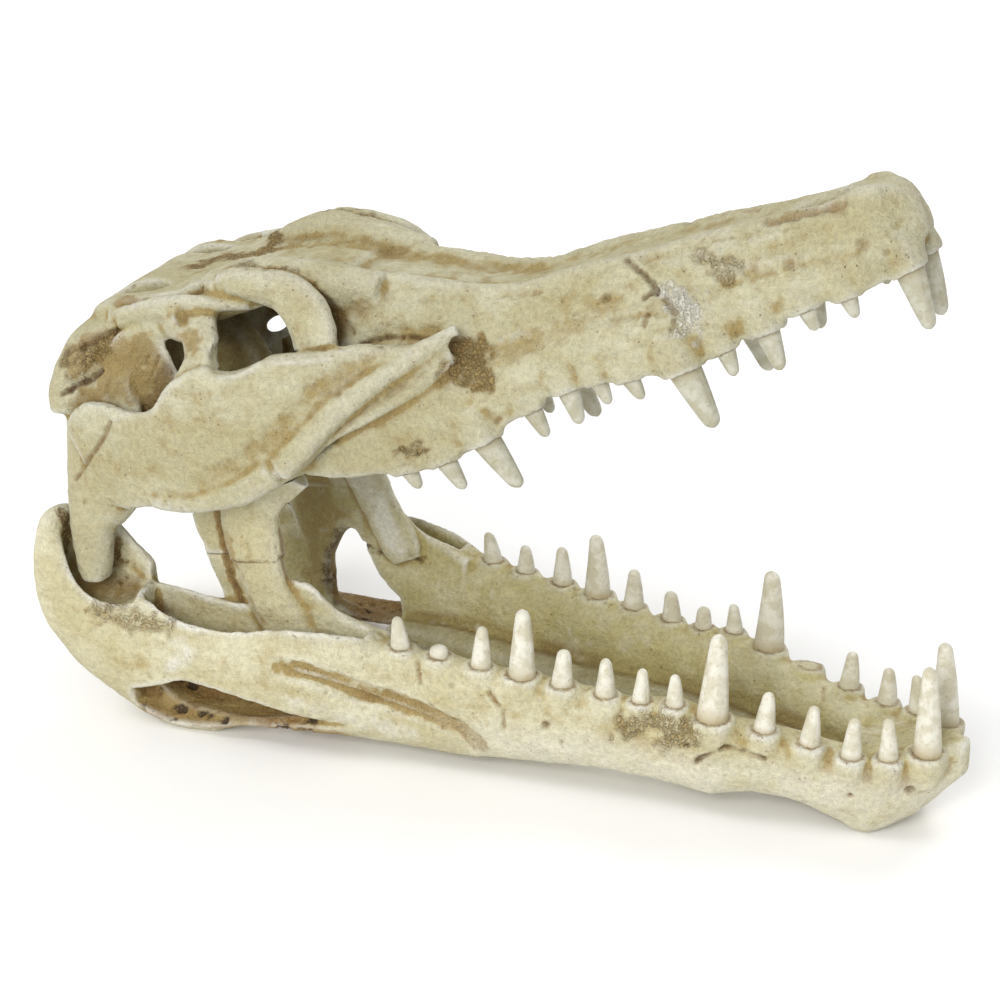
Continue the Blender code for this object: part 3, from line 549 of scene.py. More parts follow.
def noise(points, size, seed):
    """Smooth random values from -1 to 1, changing over about the given size."""
    lattice = np.random.default_rng(seed).random((LATTICE_SIDE,) * 3) * 2 - 1
    cells = points / size + LATTICE_START
    base = np.floor(cells).astype(int)
    t = cells - base
    return blended(lattice, base, t * t * (3 - 2 * t))


def fractal(points, size, seed, octaves=3):
    """Noise with finer noise on it."""
    return sum(noise(points, size / 2 ** n, seed + n) / 2 ** n for n in range(octaves))


def ramp(value, low, high):
    """0 below low, 1 above high, smooth between."""
    t = np.clip((value - low) / (high - low), 0, 1)
    return t * t * (3 - 2 * t)


def vertex_normals(points, faces):
    """Unit normals of the points."""
    a, b, c = (points[faces[:, i]] for i in range(3))
    cross = np.cross(b - a, c - a)
    normals = np.zeros_like(points)
    for axis in range(3):
        for corner in range(3):
            normals[:, axis] += np.bincount(faces[:, corner], cross[:, axis], len(points))
    return normals / np.maximum(np.linalg.norm(normals, axis=1, keepdims=True), 1e-9)


def distance_to(points, path, reach):
    """Distance from each point to a polyline, or infinity beyond reach of its box."""
    path = np.atleast_2d(np.array(path, dtype=float))
    low, high = path.min(0) - reach, path.max(0) + reach
    close = np.flatnonzero(np.all((points > low) & (points < high), axis=1))
    result = np.full(len(points), np.inf)
    if not len(close):
        return result
    near = points[close]
    if len(path) == 1:
        result[close] = np.linalg.norm(near - path[0], axis=1)
        return result
    best = np.full(len(close), np.inf)
    for a, b in zip(path, path[1:]):
        along = b - a
        t = np.clip((near - a) @ along / (along @ along), 0, 1)
        best = np.minimum(best, np.linalg.norm(near - a - t[:, None] * along, axis=1))
    result[close] = best
    return result


# ---------------------------------------------------------------- fields

def snout_ring(u, margin_y, margin_v, flank_y, flank_v, ridge_y, ridge_v, crown_v, palate_v):
    """Cross-section of the snout: palate, tooth margin, bulging flank, ridge and crown."""
    brow_y = ridge_y + (flank_y - ridge_y) * 0.45
    brow_v = ridge_v + (flank_v - ridge_v) * 0.45 + 2.0
    half = [
        (margin_y * 0.45, palate_v),
        (margin_y * 0.78, palate_v),
        (margin_y * 0.88, margin_v + 1.5),
        (margin_y * 0.98, margin_v - 0.5),
        (margin_y + 1.0, margin_v + 4),
        (flank_y + 0.8, flank_v),
        (brow_y, brow_v),
        (ridge_y + 1.5, ridge_v + 0.5),
        (ridge_y - 4.0, ridge_v + 0.5),
        (ridge_y * 0.5, crown_v),
    ]
    return mirrored(u, half)


def table_ring(u, half_width, edge_v, crown_v, under_v):
    """Cross-section of the flat skull table."""
    half = [
        (half_width * 0.5, under_v),
        (half_width * 0.95, (under_v + edge_v) / 2 - 3),
        (half_width, (under_v + edge_v) / 2 + 2),
        (half_width * 0.98, edge_v),
        (half_width * 0.85, edge_v),
        (half_width * 0.5, crown_v),
    ]
    return mirrored(u, half)


def mirrored(u, half):
    """Rounded cross-section from its half at y > 0."""
    return rounded([(u, y, v) for y, v in half] + [(u, -y, v) for y, v in reversed(half)])


def skull_volume():
    """The whole upper skull."""
    volume = Volume(SKULL_LOW, SKULL_HIGH)
    volume.join(loft([snout_ring(*row) for row in smooth_rows(SNOUT, BEAM_STEPS)]))
    volume.join(loft([table_ring(*row) for row in smooth_rows(TABLE, BEAM_STEPS)]), 5)
    volume.join(centred(BRAINCASE), 5)
    volume.join(centred(PALATE, power=4), 4)
    volume.join(limb(CONDYLE), 3)
    for side in BOTH:
        volume.join(beam(PROCESS, side), 4)
        for path in (QUADRATE, QUADRATE_BODY, WING, OCCIPUT, EDGE_BAR, POSTORBITAL, LACRIMAL,
                     EYE_HUMP, ECTOPTERYGOID, TUBERA):
            volume.join(limb(path, side), 4)
    volume.soften(2)
    for side in BOTH:
        volume.join(beam(CHEEK, side, power=4), 1.5)
        volume.join(limb(CHEEK_RIM, side), 2.5)
    volume.soften(1)
    for side in BOTH:
        for path in (ORBIT, ORBIT_DEPTH, LOWER_FENESTRA, LOWER_FENESTRA_TIP):
            volume.cut(limb(path, side), 2)
        volume.cut(plug(*UPPER_FENESTRA, side=side), 3)
        volume.cut(plug(*SUBORBITAL, side=side), 3)
    volume.cut(plug(*NARIS), 4)
    volume.cut(plug(*CHOANA), 3)
    volume.cut(limb(FORAMEN_MAGNUM), 3)
    for side in BOTH:
        volume.join(beam(TEMPLE_WEB, side), 4)
        volume.cut(limb(EYE_HOLLOW, side), 3)
        volume.join(beam(QUADRATE_WING, side), 4)
        volume.join(limb(HORN, side), 2)
        volume.join(limb(BLADE, side, power=2.6), 4)
        for path in (ROOF_SLOT, REAR_SLOT):
            volume.cut(limb(path, side), 1.5)
    volume.cut(limb(LEFT_TEMPLE_WINDOW), 2)
    for side in BOTH:
        for u, y, _, radius, _ in UPPER_TEETH:
            gum = margin_height(UPPER_MARGIN, u)
            volume.join(limb(collar(u, y - UPPER_TOOTH_INSET, gum, radius, -1), side), 4)
    volume.soften(1)
    return volume


def collar(x, y, gum, radius, up):
    """Swelling of the bone round the root of a tooth, as a limb's path."""
    depth = 7 + 1.4 * radius
    return ((x, y, gum - up * depth, radius * 0.8, radius * 0.8),
            (x, y, gum - up * depth * 0.5, radius + 1.6, radius + 1.4),
            (x, y, gum - up * 1.5, radius + 2.4, radius + 2.1),
            (x, y, gum + up * 1.4, radius + 1.4, radius + 1.2))


def jaw_volume():
    """Both halves of the lower jaw with the posts."""
    volume = Volume(JAW_LOW, JAW_HIGH)
    volume.join(limb(CHIN), 5)
    for side in BOTH:
        volume.join(beam(RAMUS, side, power=2.6), 4)
        volume.join(beam(SHELF, side), 5)
    volume.soften(2)
    for side in BOTH:
        volume.cut(limb(SOCKET, side), 2)
        volume.cut(beam(TROUGH, side, power=4), 3)
    for name, side in SIDES:
        for rows in (SOCKET_WALL, INNER_LEDGE, INNER_CREST):
            volume.join(beam(rows, side), 3)
        volume.join(limb(POST_SHEET[name], side, power=4), 2)
        volume.join(limb(POST, side), 3)
    for name, side in SIDES:
        for window in JAW_WINDOWS[name]:
            volume.cut(beam(window, side, power=2.5), 2.5)
        volume.cut(limb(OUTER_GROOVE, side), 1.5)
        volume.join(limb(GROOVE_CREST, side), 1.5)
    volume.join(limb(FAR_STRUT, power=3), 1.5)
    for side in BOTH:
        for x, y, _, radius, _ in LOWER_TEETH:
            gum = margin_height(LOWER_MARGIN, x)
            volume.join(limb(collar(x, y, gum, radius, 1), side), 4)
    volume.soften(1)
    return volume


def margin_height(margin, x):
    """Height of a tooth margin at a place along its table."""
    rows, column = margin
    return float(np.interp(x, [row[0] for row in rows], [row[column] for row in rows]))


# ---------------------------------------------------------------- surface detail

def skull_to_world():
    """Level skull frame in millimetres to the scene, in metres."""
    place = Matrix.Translation((JOINT + CENTRE) * MM) @ Matrix.Rotation(-GAPE, 4, "Y")
    return place @ Matrix.Scale(MM, 4)


def jaw_to_world():
    """Jaw frame in millimetres to the scene, in metres."""
    return Matrix.Translation((Vector((MIDDLE_X, 0, 0)) + CENTRE) * MM) @ Matrix.Scale(MM, 4)


class Skin:
    """Surface of a volume, on which marks are pressed and tinted before it is used."""

    def __init__(self, volume, seed):
        self.points, self.faces = volume.surface()
        a, b, c = (self.points[self.faces[:, i]] for i in range(3))
        if np.einsum("ij,ij->i", np.cross(a, b), c).sum() < 0:
            self.faces = self.faces[:, ::-1]
        self.normals = vertex_normals(self.points, self.faces)
        self.seed = seed
        p = self.points
        tight = volume.hollowness(p, TIGHT) - 0.5
        wide = volume.hollowness(p, WIDE) - 0.5
        self.rise = (0.60 * fractal(p, 22, seed) + 0.30 * fractal(p, 6, seed + 10)
                     - 0.5 * ramp(fractal(p, 4.5, seed + 40), 0.55, 1.1))
        self.tints = {name: np.zeros(len(p)) for name in TINTS}
        # Tints from the share of solid round each point: ochre wash in hollows and deep recesses,
        # made darker as painted shade, and paler sharp edges, partly their own colour and partly a
        # painted highlight.
        self.tints["hollow"] = np.clip(tight * 3.0 + 0.10 * fractal(p, 5, seed + 20), -1, 1)
        self.tints["depth"] = np.clip(wide * 3.0, -1, 1)
        self.tints["pale"] = np.clip(-tight * 5.0, 0, 1)

    def tint(self, name, values, where=slice(None)):
        """Bring a tint up to the given values, where they are more."""
        self.tints[name][where] = np.maximum(self.tints[name][where], values)

    def mark(self, path, width, rise=0.0, sides=RIGHT, ragged=0.3, grit=0.0, **tints):
        """Raise or press a band along a path, roughen it and tint it."""
        for side in sides:
            line = np.atleast_2d(np.array(path, dtype=float)) * (1, side, 1)
            distance = distance_to(self.points, line, width * 1.3)
            near = np.flatnonzero(distance < width * 1.3)
            if not len(near):
                continue
            p = self.points[near]
            away = distance[near] / width + ragged * noise(p, 0.3 * width + 1.2, self.seed + 60)
            weight = ramp(1 - away, 0, 0.8)
            self.rise[near] += rise * weight
            lumps = fractal(p, 2.4, self.seed + 70, 2)
            self.rise[near] += grit * weight * lumps
            self.tint("grit", min(1.6 * grit, 1) * weight, near)
            uneven = 0.95 + 0.35 * noise(p, 3.5, self.seed + 80) - (0.35 * lumps if grit else 0)
            for name, amount in tints.items():
                self.tint(name, amount * weight * np.clip(uneven, 0, 1.2), near)

    def pits(self, places, **tints):
        """Round pits on the right side, from rows of (x, y, z, size, depth)."""
        for *place, size, depth in places:
            self.mark([place], size * 1.3, depth, RIGHT, 0.2, **tints)

    def surface(self):
        """The marked surface, ready to be cut into pieces."""
        points = self.points + self.normals * self.rise[:, None]
        return {"points": points, "faces": self.faces, "capped": np.zeros(len(self.faces), bool),
                "normals": vertex_normals(points, self.faces), "tints": self.tints}


def skull_skin():
    """Upper skull with its seams, cracks, pits, wrinkles and stains."""
    skin = Skin(skull_volume(), SKULL_SEED)
    # Painted shade: the whole upper skull is made darker.
    skin.tints["painted_shade"][:] = 1
    mark = skin.mark
    # Cheek: seam with the snout, speckled valley above the rim, crisp upper edge.
    mark([(135, 82, 16), (154, 78, 21.5), (173, 73, 27), (194, 67, 32), (212, 61, 35),
          (228, 54, 38), (239, 44, 41)], 2.0, -1.6, BOTH, rust=0.5)
    mark([(101, 87, 32), (123, 86, 32), (142, 83, 36), (159, 79, 43), (176, 74, 50), (195, 68, 54),
          (212, 60, 55)], 7, -1.3, BOTH, hollow=0.14)
    mark([(67.6, 83.6, 75), (78, 83.3, 74), (87, 84, 70.7), (94, 83.7, 71.7), (104, 83, 77),
          (110, 83, 79.5), (120, 82, 81), (132, 81, 80), (147, 79, 77), (160.5, 76.8, 72),
          (176, 72.7, 66), (190, 68, 61)], 2.6, 0.8, BOTH, ragged=0.1, pale=0.7)
    mark([(70, 84, 27), (86, 85, 21), (124, 86, 18), (144, 83, 21), (165, 79, 29), (184, 73, 37),
          (207, 64, 43)], 5, 0.2, BOTH, pale=0.8)
    mark([(66, 84, 74), (57, 84, 68), (46, 82, 63), (34.5, 80, 58), (23, 79, 53)], 1.8, -1.4, BOTH,
         rust=0.75)
    # Hollow where cheek and snout meet, with a dark crack above it.
    mark([(190, 52, 61), (203, 42, 59.6), (218, 40, 54.5), (234, 39.4, 46.8)], 7, -2.0, BOTH,
         hollow=0.2)
    mark([(193, 44, 59.6), (203, 41.9, 58.6), (218, 40.2, 53.5), (232, 39.4, 46.8)], 1.8, -2.2,
         BOTH, rust=0.9, dark=0.5)
    mark([(236, 42, 44), (248, 42.1, 36), (250, 48.5, 25.7), (238, 49, 32)], 10, -1.8, BOTH, 0.5,
         0.55, rust=0.45, hollow=0.3)
    # Front of the eye socket.
    mark([(167.5, 49, 103), (165.8, 49, 95), (168.4, 51, 87.4), (171, 54, 80)], 1.8, -1.6, BOTH,
         rust=0.8)
    mark([(175.5, 47, 95), (184, 43.5, 87.8), (186, 39, 75.4), (190, 42, 65.2)], 1.8, -1.3, BOTH,
         rust=0.4)
    mark([(184, 62, 64), (181, 58, 66), (178, 60, 68)], 6, -0.8, BOTH, 0.5, 0.3, rust=0.5)
    # Back of the roof and side.
    mark([(38, 59, 111.5), (52, 60, 111.6), (64.6, 57, 112), (74, 54, 110.7)], 2.8, -2.4, BOTH,
         0.5, rust=0.85, dark=0.3)
    mark([(42, 60, 105), (58, 60, 106), (73, 53, 104)], 9, -0.5, BOTH, 0.5, 0.6, rust=0.5,
         hollow=0.35)
    mark([(33.7, 70, 94), (41.9, 68, 94.5), (50.2, 65, 95), (57, 63, 97)], 2.2, -2.6, BOTH,
         rust=0.95, dark=0.5)
    mark([(40, 67, 99), (52, 64, 100)], 6, -0.6, BOTH, 0.5, 0.3, rust=0.4)
    mark([(62, 65.5, 91.7), (58, 69, 85.7), (60, 76, 80)], 2.0, -1.0, BOTH, rust=0.5)
    mark([(92, 1, 121), (98, -13, 120), (110, -9, 117), (125, -9, 114), (121, -31, 114.7)], 9, 0.2,
         RIGHT, 0.6, 0.75, rust=0.5, hollow=0.2)
    mark([(149, 44, 117), (162, 47, 108), (172, 45, 104), (180, 44, 95)], 5.5, -0.3, BOTH, 0.5,
         0.6, rust=0.45)
    mark([(120, 20, 115), (150, 18, 108), (180, 16, 95), (210, 14, 79), (240, 12, 64),
          (268, 12, 54)], 8, -1.0, BOTH, 0.3, hollow=0.22)
    # Snout: broken plate behind the big tooth, chalky patch, pits.
    mark([(331.7, 24, 47.5), (337, 27.6, 42), (343, 32.6, 35), (344.5, 35, 31)], 2.0, -2.6,
         rust=0.75, dark=0.4)
    mark([(344, 34, 32), (338, 36, 31)], 2.0, -2.2, rust=0.7, dark=0.3)
    mark([(347.4, 36.8, 27), (350.7, 40, 20), (348.2, 43, 14.5)], 2.2, -2.0, rust=0.6)
    mark([(338.5, 40.3, 24.4), (335.8, 43.3, 20.7)], 1.8, -1.6, rust=0.7)
    mark([(350, 34, 29), (357, 37, 22), (354, 42, 13)], 9, 0.7, RIGHT, 0.6, 0.35, pale=1.2)
    mark([(365, 26, 38), (372, 28, 33), (384, 27, 29), (376, 30, 25)], 6, -0.8, RIGHT, 0.6, 0.4,
         rust=0.3)
    mark([(300, 30, 40), (330, 36, 30), (316, 42, 16)], 12, -0.5, BOTH, 0.5, hollow=0.1)
    mark([(196, 60, 6), (208, 61, 5)], 5, -0.9, RIGHT, 0.6, 0.6, rust=0.7)
    mark([(385, -12, 42), (346, -20, 46)], 3, -0.8, RIGHT, 0.5, rust=0.5)
    skin.pits(((319, 34, 37, 2.6, -2.6), (145, 84, 24, 1.2, -1.2), (170, 78, 41, 1.8, -1.5),
               (187, 71, 44, 2.2, -1.6), (390, 29, 25, 2.2, -1.4), (407, 29, 21, 2.6, -1.4),
               (408, 16, 40, 3.0, -1.6), (440, 23, 17, 3.0, -1.4), (447, 20, 9.6, 2.0, -1.2),
               (235, 53, 6, 1.8, -1.4), (249, 51, 3, 1.8, -1.4), (117, 86, 60, 1.2, -0.8),
               (346, -20, 47, 3.0, -1.8), (318, -33, 38, 2.2, -2.0)), rust=0.6)
    # Dark brown painted into the slots of the roof as their shade; brown wash on the bars and over
    # the rear.
    mark([(98, 50, 113), (106, 50, 111.5), (118, 50.5, 110.5), (126, 50.5, 111)], 5.5, 0, BOTH,
         0.2, rust=0.8, dark=0.35)
    mark([(110, 55, 107), (117, 61, 99), (122, 70, 90)], 9, -0.5, BOTH, 0.5, hollow=0.35,
         rust=0.15)
    mark([(84, 61, 98), (88, 61, 86), (84, 62, 72)], 12, 0, BOTH, 0.5, hollow=0.4, rust=0.2)
    mark([(46, 62, 108), (60, 62, 104), (74, 58, 101), (62, 66, 92), (50, 68, 86)], 12, 0, BOTH,
         0.6, hollow=0.5, rust=0.2)
    mark([(88, 52, 122), (80, 50, 122)], 8, 0, BOTH, 0.5, hollow=0.3, rust=0.35)
    # Painted shade in the dark depth of the temple, behind the edge of the cheek.
    mark([(94, 60, 84), (86, 60, 78), (78, 60, 72), (70, 61, 70)], 8, -0.6, BOTH, 0.35, rust=0.55,
         dark=0.3, hollow=0.5)
    for step in (0, 1, 2):
        mark([(92 - 5 * step, 61, 92 + 2 * step), (80 - 5 * step, 61.5, 82 + 2 * step)], 1.6, -1.2,
             BOTH, 0.2, rust=0.6)
    # Long shallow dent of the flank, ridge above it with a painted highlight along it.
    mark([(245, 42, 30), (290, 40, 30), (345, 36, 28), (392, 32, 27)], 9, -1.1, BOTH, 0.3,
         hollow=0.1)
    mark([(209, 28, 85), (232, 25, 71), (261, 24, 59), (300, 23, 53), (353, 23, 47),
          (392, 20, 45)], 4, 0.9, BOTH, 0.3, pale=0.4)
    # Long wrinkles of the flank.
    for path in (((372, 25, 33), (398, 22, 29), (425, 20, 24), (446, 15, 18)),
                 ((374, 32, 23), (407, 31, 20), (438, 26, 15)),
                 ((291, 37, 31), (325, 41, 27), (354, 41, 20)),
                 ((259, 42, 30), (291, 43, 25), (332, 44, 16)),
                 ((390, 20, 36), (414, 18, 34), (436, 16, 30)),
                 ((225, 30, 67), (254, 28, 58), (294, 26, 46)),
                 ((337, 25, 45), (366, 20, 42), (395, 19, 37))):
        mark(path, 2.6, -0.9, BOTH, 0.45, hollow=0.14)
    for path in (((374, 28, 28), (402, 26, 24), (430, 23, 19)),
                 ((262, 38, 36), (296, 36, 32), (322, 36, 30)),
                 ((350, 27, 40), (380, 22, 37), (404, 20, 33))):
        mark(path, 4, 0.7, BOTH, 0.4, pale=0.35)
    # Nostril pit with the lump in front of it.
    mark([(402, 17, 41), (412, 16, 40), (424, 14.5, 38), (434, 15, 35)], 5.5, -3.2, RIGHT, 0.2,
         rust=0.45, hollow=0.3)
    mark([(443, 13, 38), (449, 12, 36)], 7, 1.4, BOTH, 0.2)
    # Ochre tint on the wall that rolls into the temple opening: painted shade.
    mark([(86, 61, 96), (74, 64, 92), (72, 66, 80)], 11, -0.8, BOTH, 0.4, hollow=0.3, rust=0.2)
    socket_rings(skin, UPPER_TEETH, UPPER_MARGIN, UPPER_TOOTH_INSET, -1)
    speckles(skin, 140, 3)
    wash_and_shade_inside(skin, 20, 150, 54)
    return skin.surface()


def socket_rings(skin, teeth, margin, inset, up):
    """Dark crease round each tooth, where it comes out of the bone."""
    angles = np.linspace(0, 2 * np.pi, 13)
    for x, y, _, radius, _ in teeth:
        gum = margin_height(margin, x) + 1.2 * up
        ring = np.stack((x + radius * np.cos(angles), y - inset + radius * np.sin(angles),
                         np.full(len(angles), gum)), 1)
        skin.mark(ring, 2.0, -0.5, BOTH, 0.4, 0.2, rust=0.6)


def speckles(skin, count, seed):
    """Small brown pits scattered over the surface."""
    rng = np.random.default_rng(seed)
    for index in rng.integers(0, len(skin.points), count):
        size = rng.uniform(1.0, 1.9)
        skin.mark([skin.points[index] * (1, -1, 1)], size, -0.5 * size, RIGHT, 0.2,
                  rust=rng.uniform(0.2, 0.5))


def wash_and_shade_inside(skin, low_u, high_u, reach):
    """Brown wash and painted shade on the braincase and the walls that only show through the eye
    sockets.
    """
    u, y, v = skin.points.T
    inside = ramp(reach - np.abs(y), 0, 8) * ramp(u - low_u, 0, 15) * ramp(high_u - u, 0, 15)
    inside *= ramp(v, 18, 30) * ramp(112 - v, 0, 12)
    blotch = 0.8 + 0.3 * fractal(skin.points, 9, 91)
    skin.tint("olive", 0.5 * inside * blotch)
    skin.tint("hollow", 0.4 * inside)
    skin.tint("rust", 0.55 * inside * ramp(fractal(skin.points, 5, 92), -0.2, 0.8))


def mark_brace(skin):
    """Seam, stains and painted shade of the braces, on the jaw and on the flanges alike."""
    mark = skin.mark
    mark([(-127, 47, 91), (-127, 56, 91.4), (-118, 61, 93), (-106, 62, 95.6), (-95, 60, 98),
          (-94, 50, 98.2)], 2.4, -0.9, BOTH, 0.2, rust=1.0, dark=0.5)
    # Dark bands on the sheet beside both edges of the post: painted shade where post and sheet
    # meet.
    mark([(-137, 49, 128), (-135.5, 49, 112), (-133, 49, 97), (-129, 49, 78), (-121, 49, 60)], 3.4,
         -0.9, BOTH, 0.3, hollow=0.6, rust=0.8, dark=0.3)
    mark([(-93, 51, 128), (-97, 51, 112), (-97, 51, 97), (-91, 51, 78), (-79, 51, 60)], 2.8, -0.6,
         BOTH, 0.3, hollow=0.5, rust=0.4)
    mark([(-126, 57, 106), (-122, 60, 80), (-106, 60, 60)], 7, 0, BOTH, 0.6, hollow=0.25,
         rust=0.12)
    mark([(-139, 43, 140), (-138, 43, 112), (-131, 43, 90), (-128, 43, 64), (-128, 43, 40)], 19, 0,
         LEFT, 0.4, hollow=0.5, rust=0.35, olive=0.6)
    mark([(-108, 41, 124), (-100, 40.4, 102), (-90, 40, 84), (-79, 40, 66)], 12, 0, LEFT, 0.15,
         pale=1.2)
    mark([(-119.5, 43, 122), (-112.5, 43, 102), (-103, 43, 84), (-92, 43, 66)], 2.6, -0.4, LEFT,
         0.3, rust=0.6)


def jaw_skin():
    """Lower jaw with its cracks, pits and stains, and those of the braces."""
    skin = Skin(jaw_volume(), JAW_SEED)
    mark = skin.mark
    # Outer face: grit at the angle, pale knob over the window, cracks below the teeth.
    mark([(-184, 89, 65), (-170, 87, 63), (-157, 86, 62), (-148, 84, 64)], 8, 0.1, BOTH, 0.6, 0.55,
         rust=0.35)
    mark([(-140, 86, 56), (-133, 86, 51), (-142, 88, 43)], 7, 0.6, BOTH, pale=0.8)
    mark([(-80, 77, 30), (-50, 72, 26), (-20, 64, 18)], 9, 0.5, BOTH, pale=0.6)
    mark([(18, 51, 58), (21.4, 57, 49), (28, 58, 42), (29, 58, 31)], 1.7, -1.6, rust=0.8)
    mark([(-18, 58, 60), (-16, 61, 55), (-14.4, 62.5, 49.4)], 1.6, -1.4, rust=0.7)
    mark([(-36, 50, 61), (-37, 47, 56), (-36, 42.5, 39.4)], 1.6, -1.2, LEFT, rust=0.6)
    mark([(166, 24, 49), (168, 18, 43), (167, 15, 32)], 1.6, -1.4, LEFT, rust=0.6)
    mark([(126, 48, 32), (131, 47, 37), (139, 45, 42.5), (148, 43, 41), (158, 41, 38)], 2.0, -2.4,
         rust=0.85, dark=0.4)
    mark([(88, 48, 41), (100, 48, 47), (112, 48, 50), (124, 48, 46), (110, 49, 40)], 8, -0.2,
         RIGHT, 0.6, 0.6, rust=0.4)
    mark([(40, 49, 45), (80, 47, 40), (120, 47, 30)], 9, -0.4, BOTH, hollow=0.12)
    skin.pits(((121, 48, 40, 2.0, -1.8), (225, 22, 28, 2.6, -2.6), (50, 55, 37, 2.4, -2.0),
               (58, 54, 29, 1.6, -1.5), (29, 58, 42, 1.5, -1.5), (199, 33, 24, 1.6, -1.4),
               (186, 36, 30, 1.4, -1.2), (-9, 63, 38, 1.4, -1.2)), rust=0.8, dark=0.3)
    mark([(-82, 79, 51), (-72, 77, 50.8), (-59, 73.6, 46.5), (-48, 70.4, 42), (-36, 67, 39),
          (-24, 64.6, 36.9), (-9, 62.4, 32.4), (7, 60, 27), (16, 57.7, 19.5)], 6, -0.2, BOTH, 0.4,
         0.2, rust=0.12, hollow=0.35)
    mark([(-78, 77, 54), (-59, 73, 50.5), (-36, 66, 43), (-9, 61, 36.5), (8, 59, 30)], 1.8, -0.4,
         BOTH, 0.5, rust=0.4)
    socket_rings(skin, LOWER_TEETH, LOWER_MARGIN, 0, 1)
    # Painted light: the lower half of the front is made paler.
    x, y, z = skin.points.T
    places, inner, outer = np.array(RAMUS).T[:3]
    front = ramp(x, -30, 40) * ramp(np.abs(y) - np.interp(x, places, (inner + outer) / 2), 0, 6)
    skin.tint("pale", 0.55 * front * ramp(-z, -44, -26))
    # Braces, and dark brown marks under the far one.
    mark_brace(skin)
    mark([(-120, 44, 22), (-124, 44, 44), (-114, 44, 64), (-102, 44, 16), (-84, 44, 18)], 7, -0.3,
         LEFT, 0.5, 0.4, rust=0.7, dark=0.35)
    # Jaw joint with painted shade in its socket round the condyle, and the feet of the braces.
    mark([(-211, 76, 106), (-209, 77, 93), (-202, 80, 84), (-192, 80, 76), (-186, 66, 74),
          (-190, 62, 88)], 6, 0.2, BOTH, 0.5, 0.6, rust=0.6, hollow=0.3, dark=0.2)
    mark([(-102, 45, 61), (-92, 45, 58), (-83, 46, 57), (-63, 46, 59)], 3.0, -1.2, BOTH, 0.5, 0.6,
         rust=0.8, dark=0.3)
    speckles(skin, 160, 4)
    # Olive wash on the inner sides, with paler patches.
    blotch = fractal(skin.points, 14, 95)
    inward = ramp(-skin.normals[:, 1] * np.sign(y), -0.1, 0.5) * ramp(z, 10, 20)
    skin.tint("olive", inward * np.clip(0.75 + 0.4 * blotch, 0.3, 1))
    skin.tint("pale", 0.3 * (inward * ramp(fractal(skin.points, 8, 96), 0.5, 0.9)))
    # Rusty, pitted bone inside the windows.
    spongy = ramp(x, -172, -158) * ramp(-x, 48, 62) * ramp(z, 3, 8) * ramp(-z, -46, -38)
    depth = np.interp(x, places, outer) - np.abs(y)
    spongy *= ramp(np.abs(y), 46, 50) * ramp(depth, 3.5, 7)
    holes = ramp(fractal(skin.points, 5, 97), 0.15, 0.7)
    skin.rise -= 1.6 * spongy * holes
    skin.tint("rust", spongy * (0.55 + 0.4 * blotch))
    skin.tint("hollow", 0.8 * spongy)
    skin.tint("dark", 0.9 * spongy * ramp(holes, 0.5, 1))
    return skin.surface()


def clip(surface, point, normal, spared_x=None):
    """Part of a closed surface on the side of a plane that the normal points to, closed again.

    What lies behind spared_x isn't cut.
    """
    points, faces = surface["points"].copy(), surface["faces"]
    point, normal = np.array(point, float), np.array(normal, float)
    normal /= np.linalg.norm(normal)
    height = (points - point) @ normal
    if spared_x is not None:
        height = np.where(points[:, 0] < spared_x, np.maximum(height, 1.0), height)
    close = np.abs(height) < SNAP
    points[close] += (SNAP - height[close])[:, None] * normal
    height[close] = SNAP
    above = height[faces] > 0
    count = above.sum(1)
    kept, kept_flags = faces[count == 3], surface["capped"][count == 3]
    pairs, flags, corners = [], [], []
    for wanted in (1, 2):                       # triangles with one, then two points above
        some = count == wanted
        tri, flag = faces[some], above[some]
        odd = np.argmax(flag == (wanted == 1), axis=1)
        rows = np.arange(len(tri))
        a, b, c = (tri[rows, (odd + turn) % 3] for turn in range(3))
        pairs += [np.stack((a, b), 1), np.stack((a, c), 1)]
        corners.append((a, b, c))
        flags.append(surface["capped"][some])
    edges = np.vstack(pairs)
    if not len(edges):
        return tidy({**surface, "points": points, "faces": kept, "capped": kept_flags})
    unique, inverse = np.unique(np.sort(edges, axis=1), axis=0, return_inverse=True)
    ids = np.split(inverse.reshape(-1) + len(points), np.cumsum([len(p) for p in pairs])[:-1])
    share = (height[unique[:, 0]] / (height[unique[:, 0]] - height[unique[:, 1]]))[:, None]
    tip, (_, b, c) = corners[0][0], corners[1]
    faces = [kept, np.stack((tip, ids[0], ids[1]), 1), np.stack((ids[2], b, c), 1),
             np.stack((ids[2], c, ids[3]), 1)]
    rim = np.vstack((np.stack((ids[1], ids[0]), 1), np.stack((ids[2], ids[3]), 1)))

    def extended(values):
        """Values of the points, and of the new points on the cut edges."""
        first, second = values[unique[:, 0]], values[unique[:, 1]]
        weight = share if values.ndim == 2 else share[:, 0]
        return np.concatenate((values, first + weight * (second - first)))

    points = extended(points)
    lid, extra = cap(points, rim, normal)

    def grown(values):
        """Those values, with zeros for the points that the lid adds."""
        return np.concatenate((extended(values), np.zeros((len(extra),) + values.shape[1:])))

    capped = (kept_flags, flags[0], flags[1], flags[1], np.ones(len(lid), bool))
    return tidy({"points": np.vstack((points, extra)), "faces": np.vstack(faces + [lid]),
                 "capped": np.concatenate(capped), "normals": grown(surface["normals"]),
                 "tints": {name: grown(values) for name, values in surface["tints"].items()}})


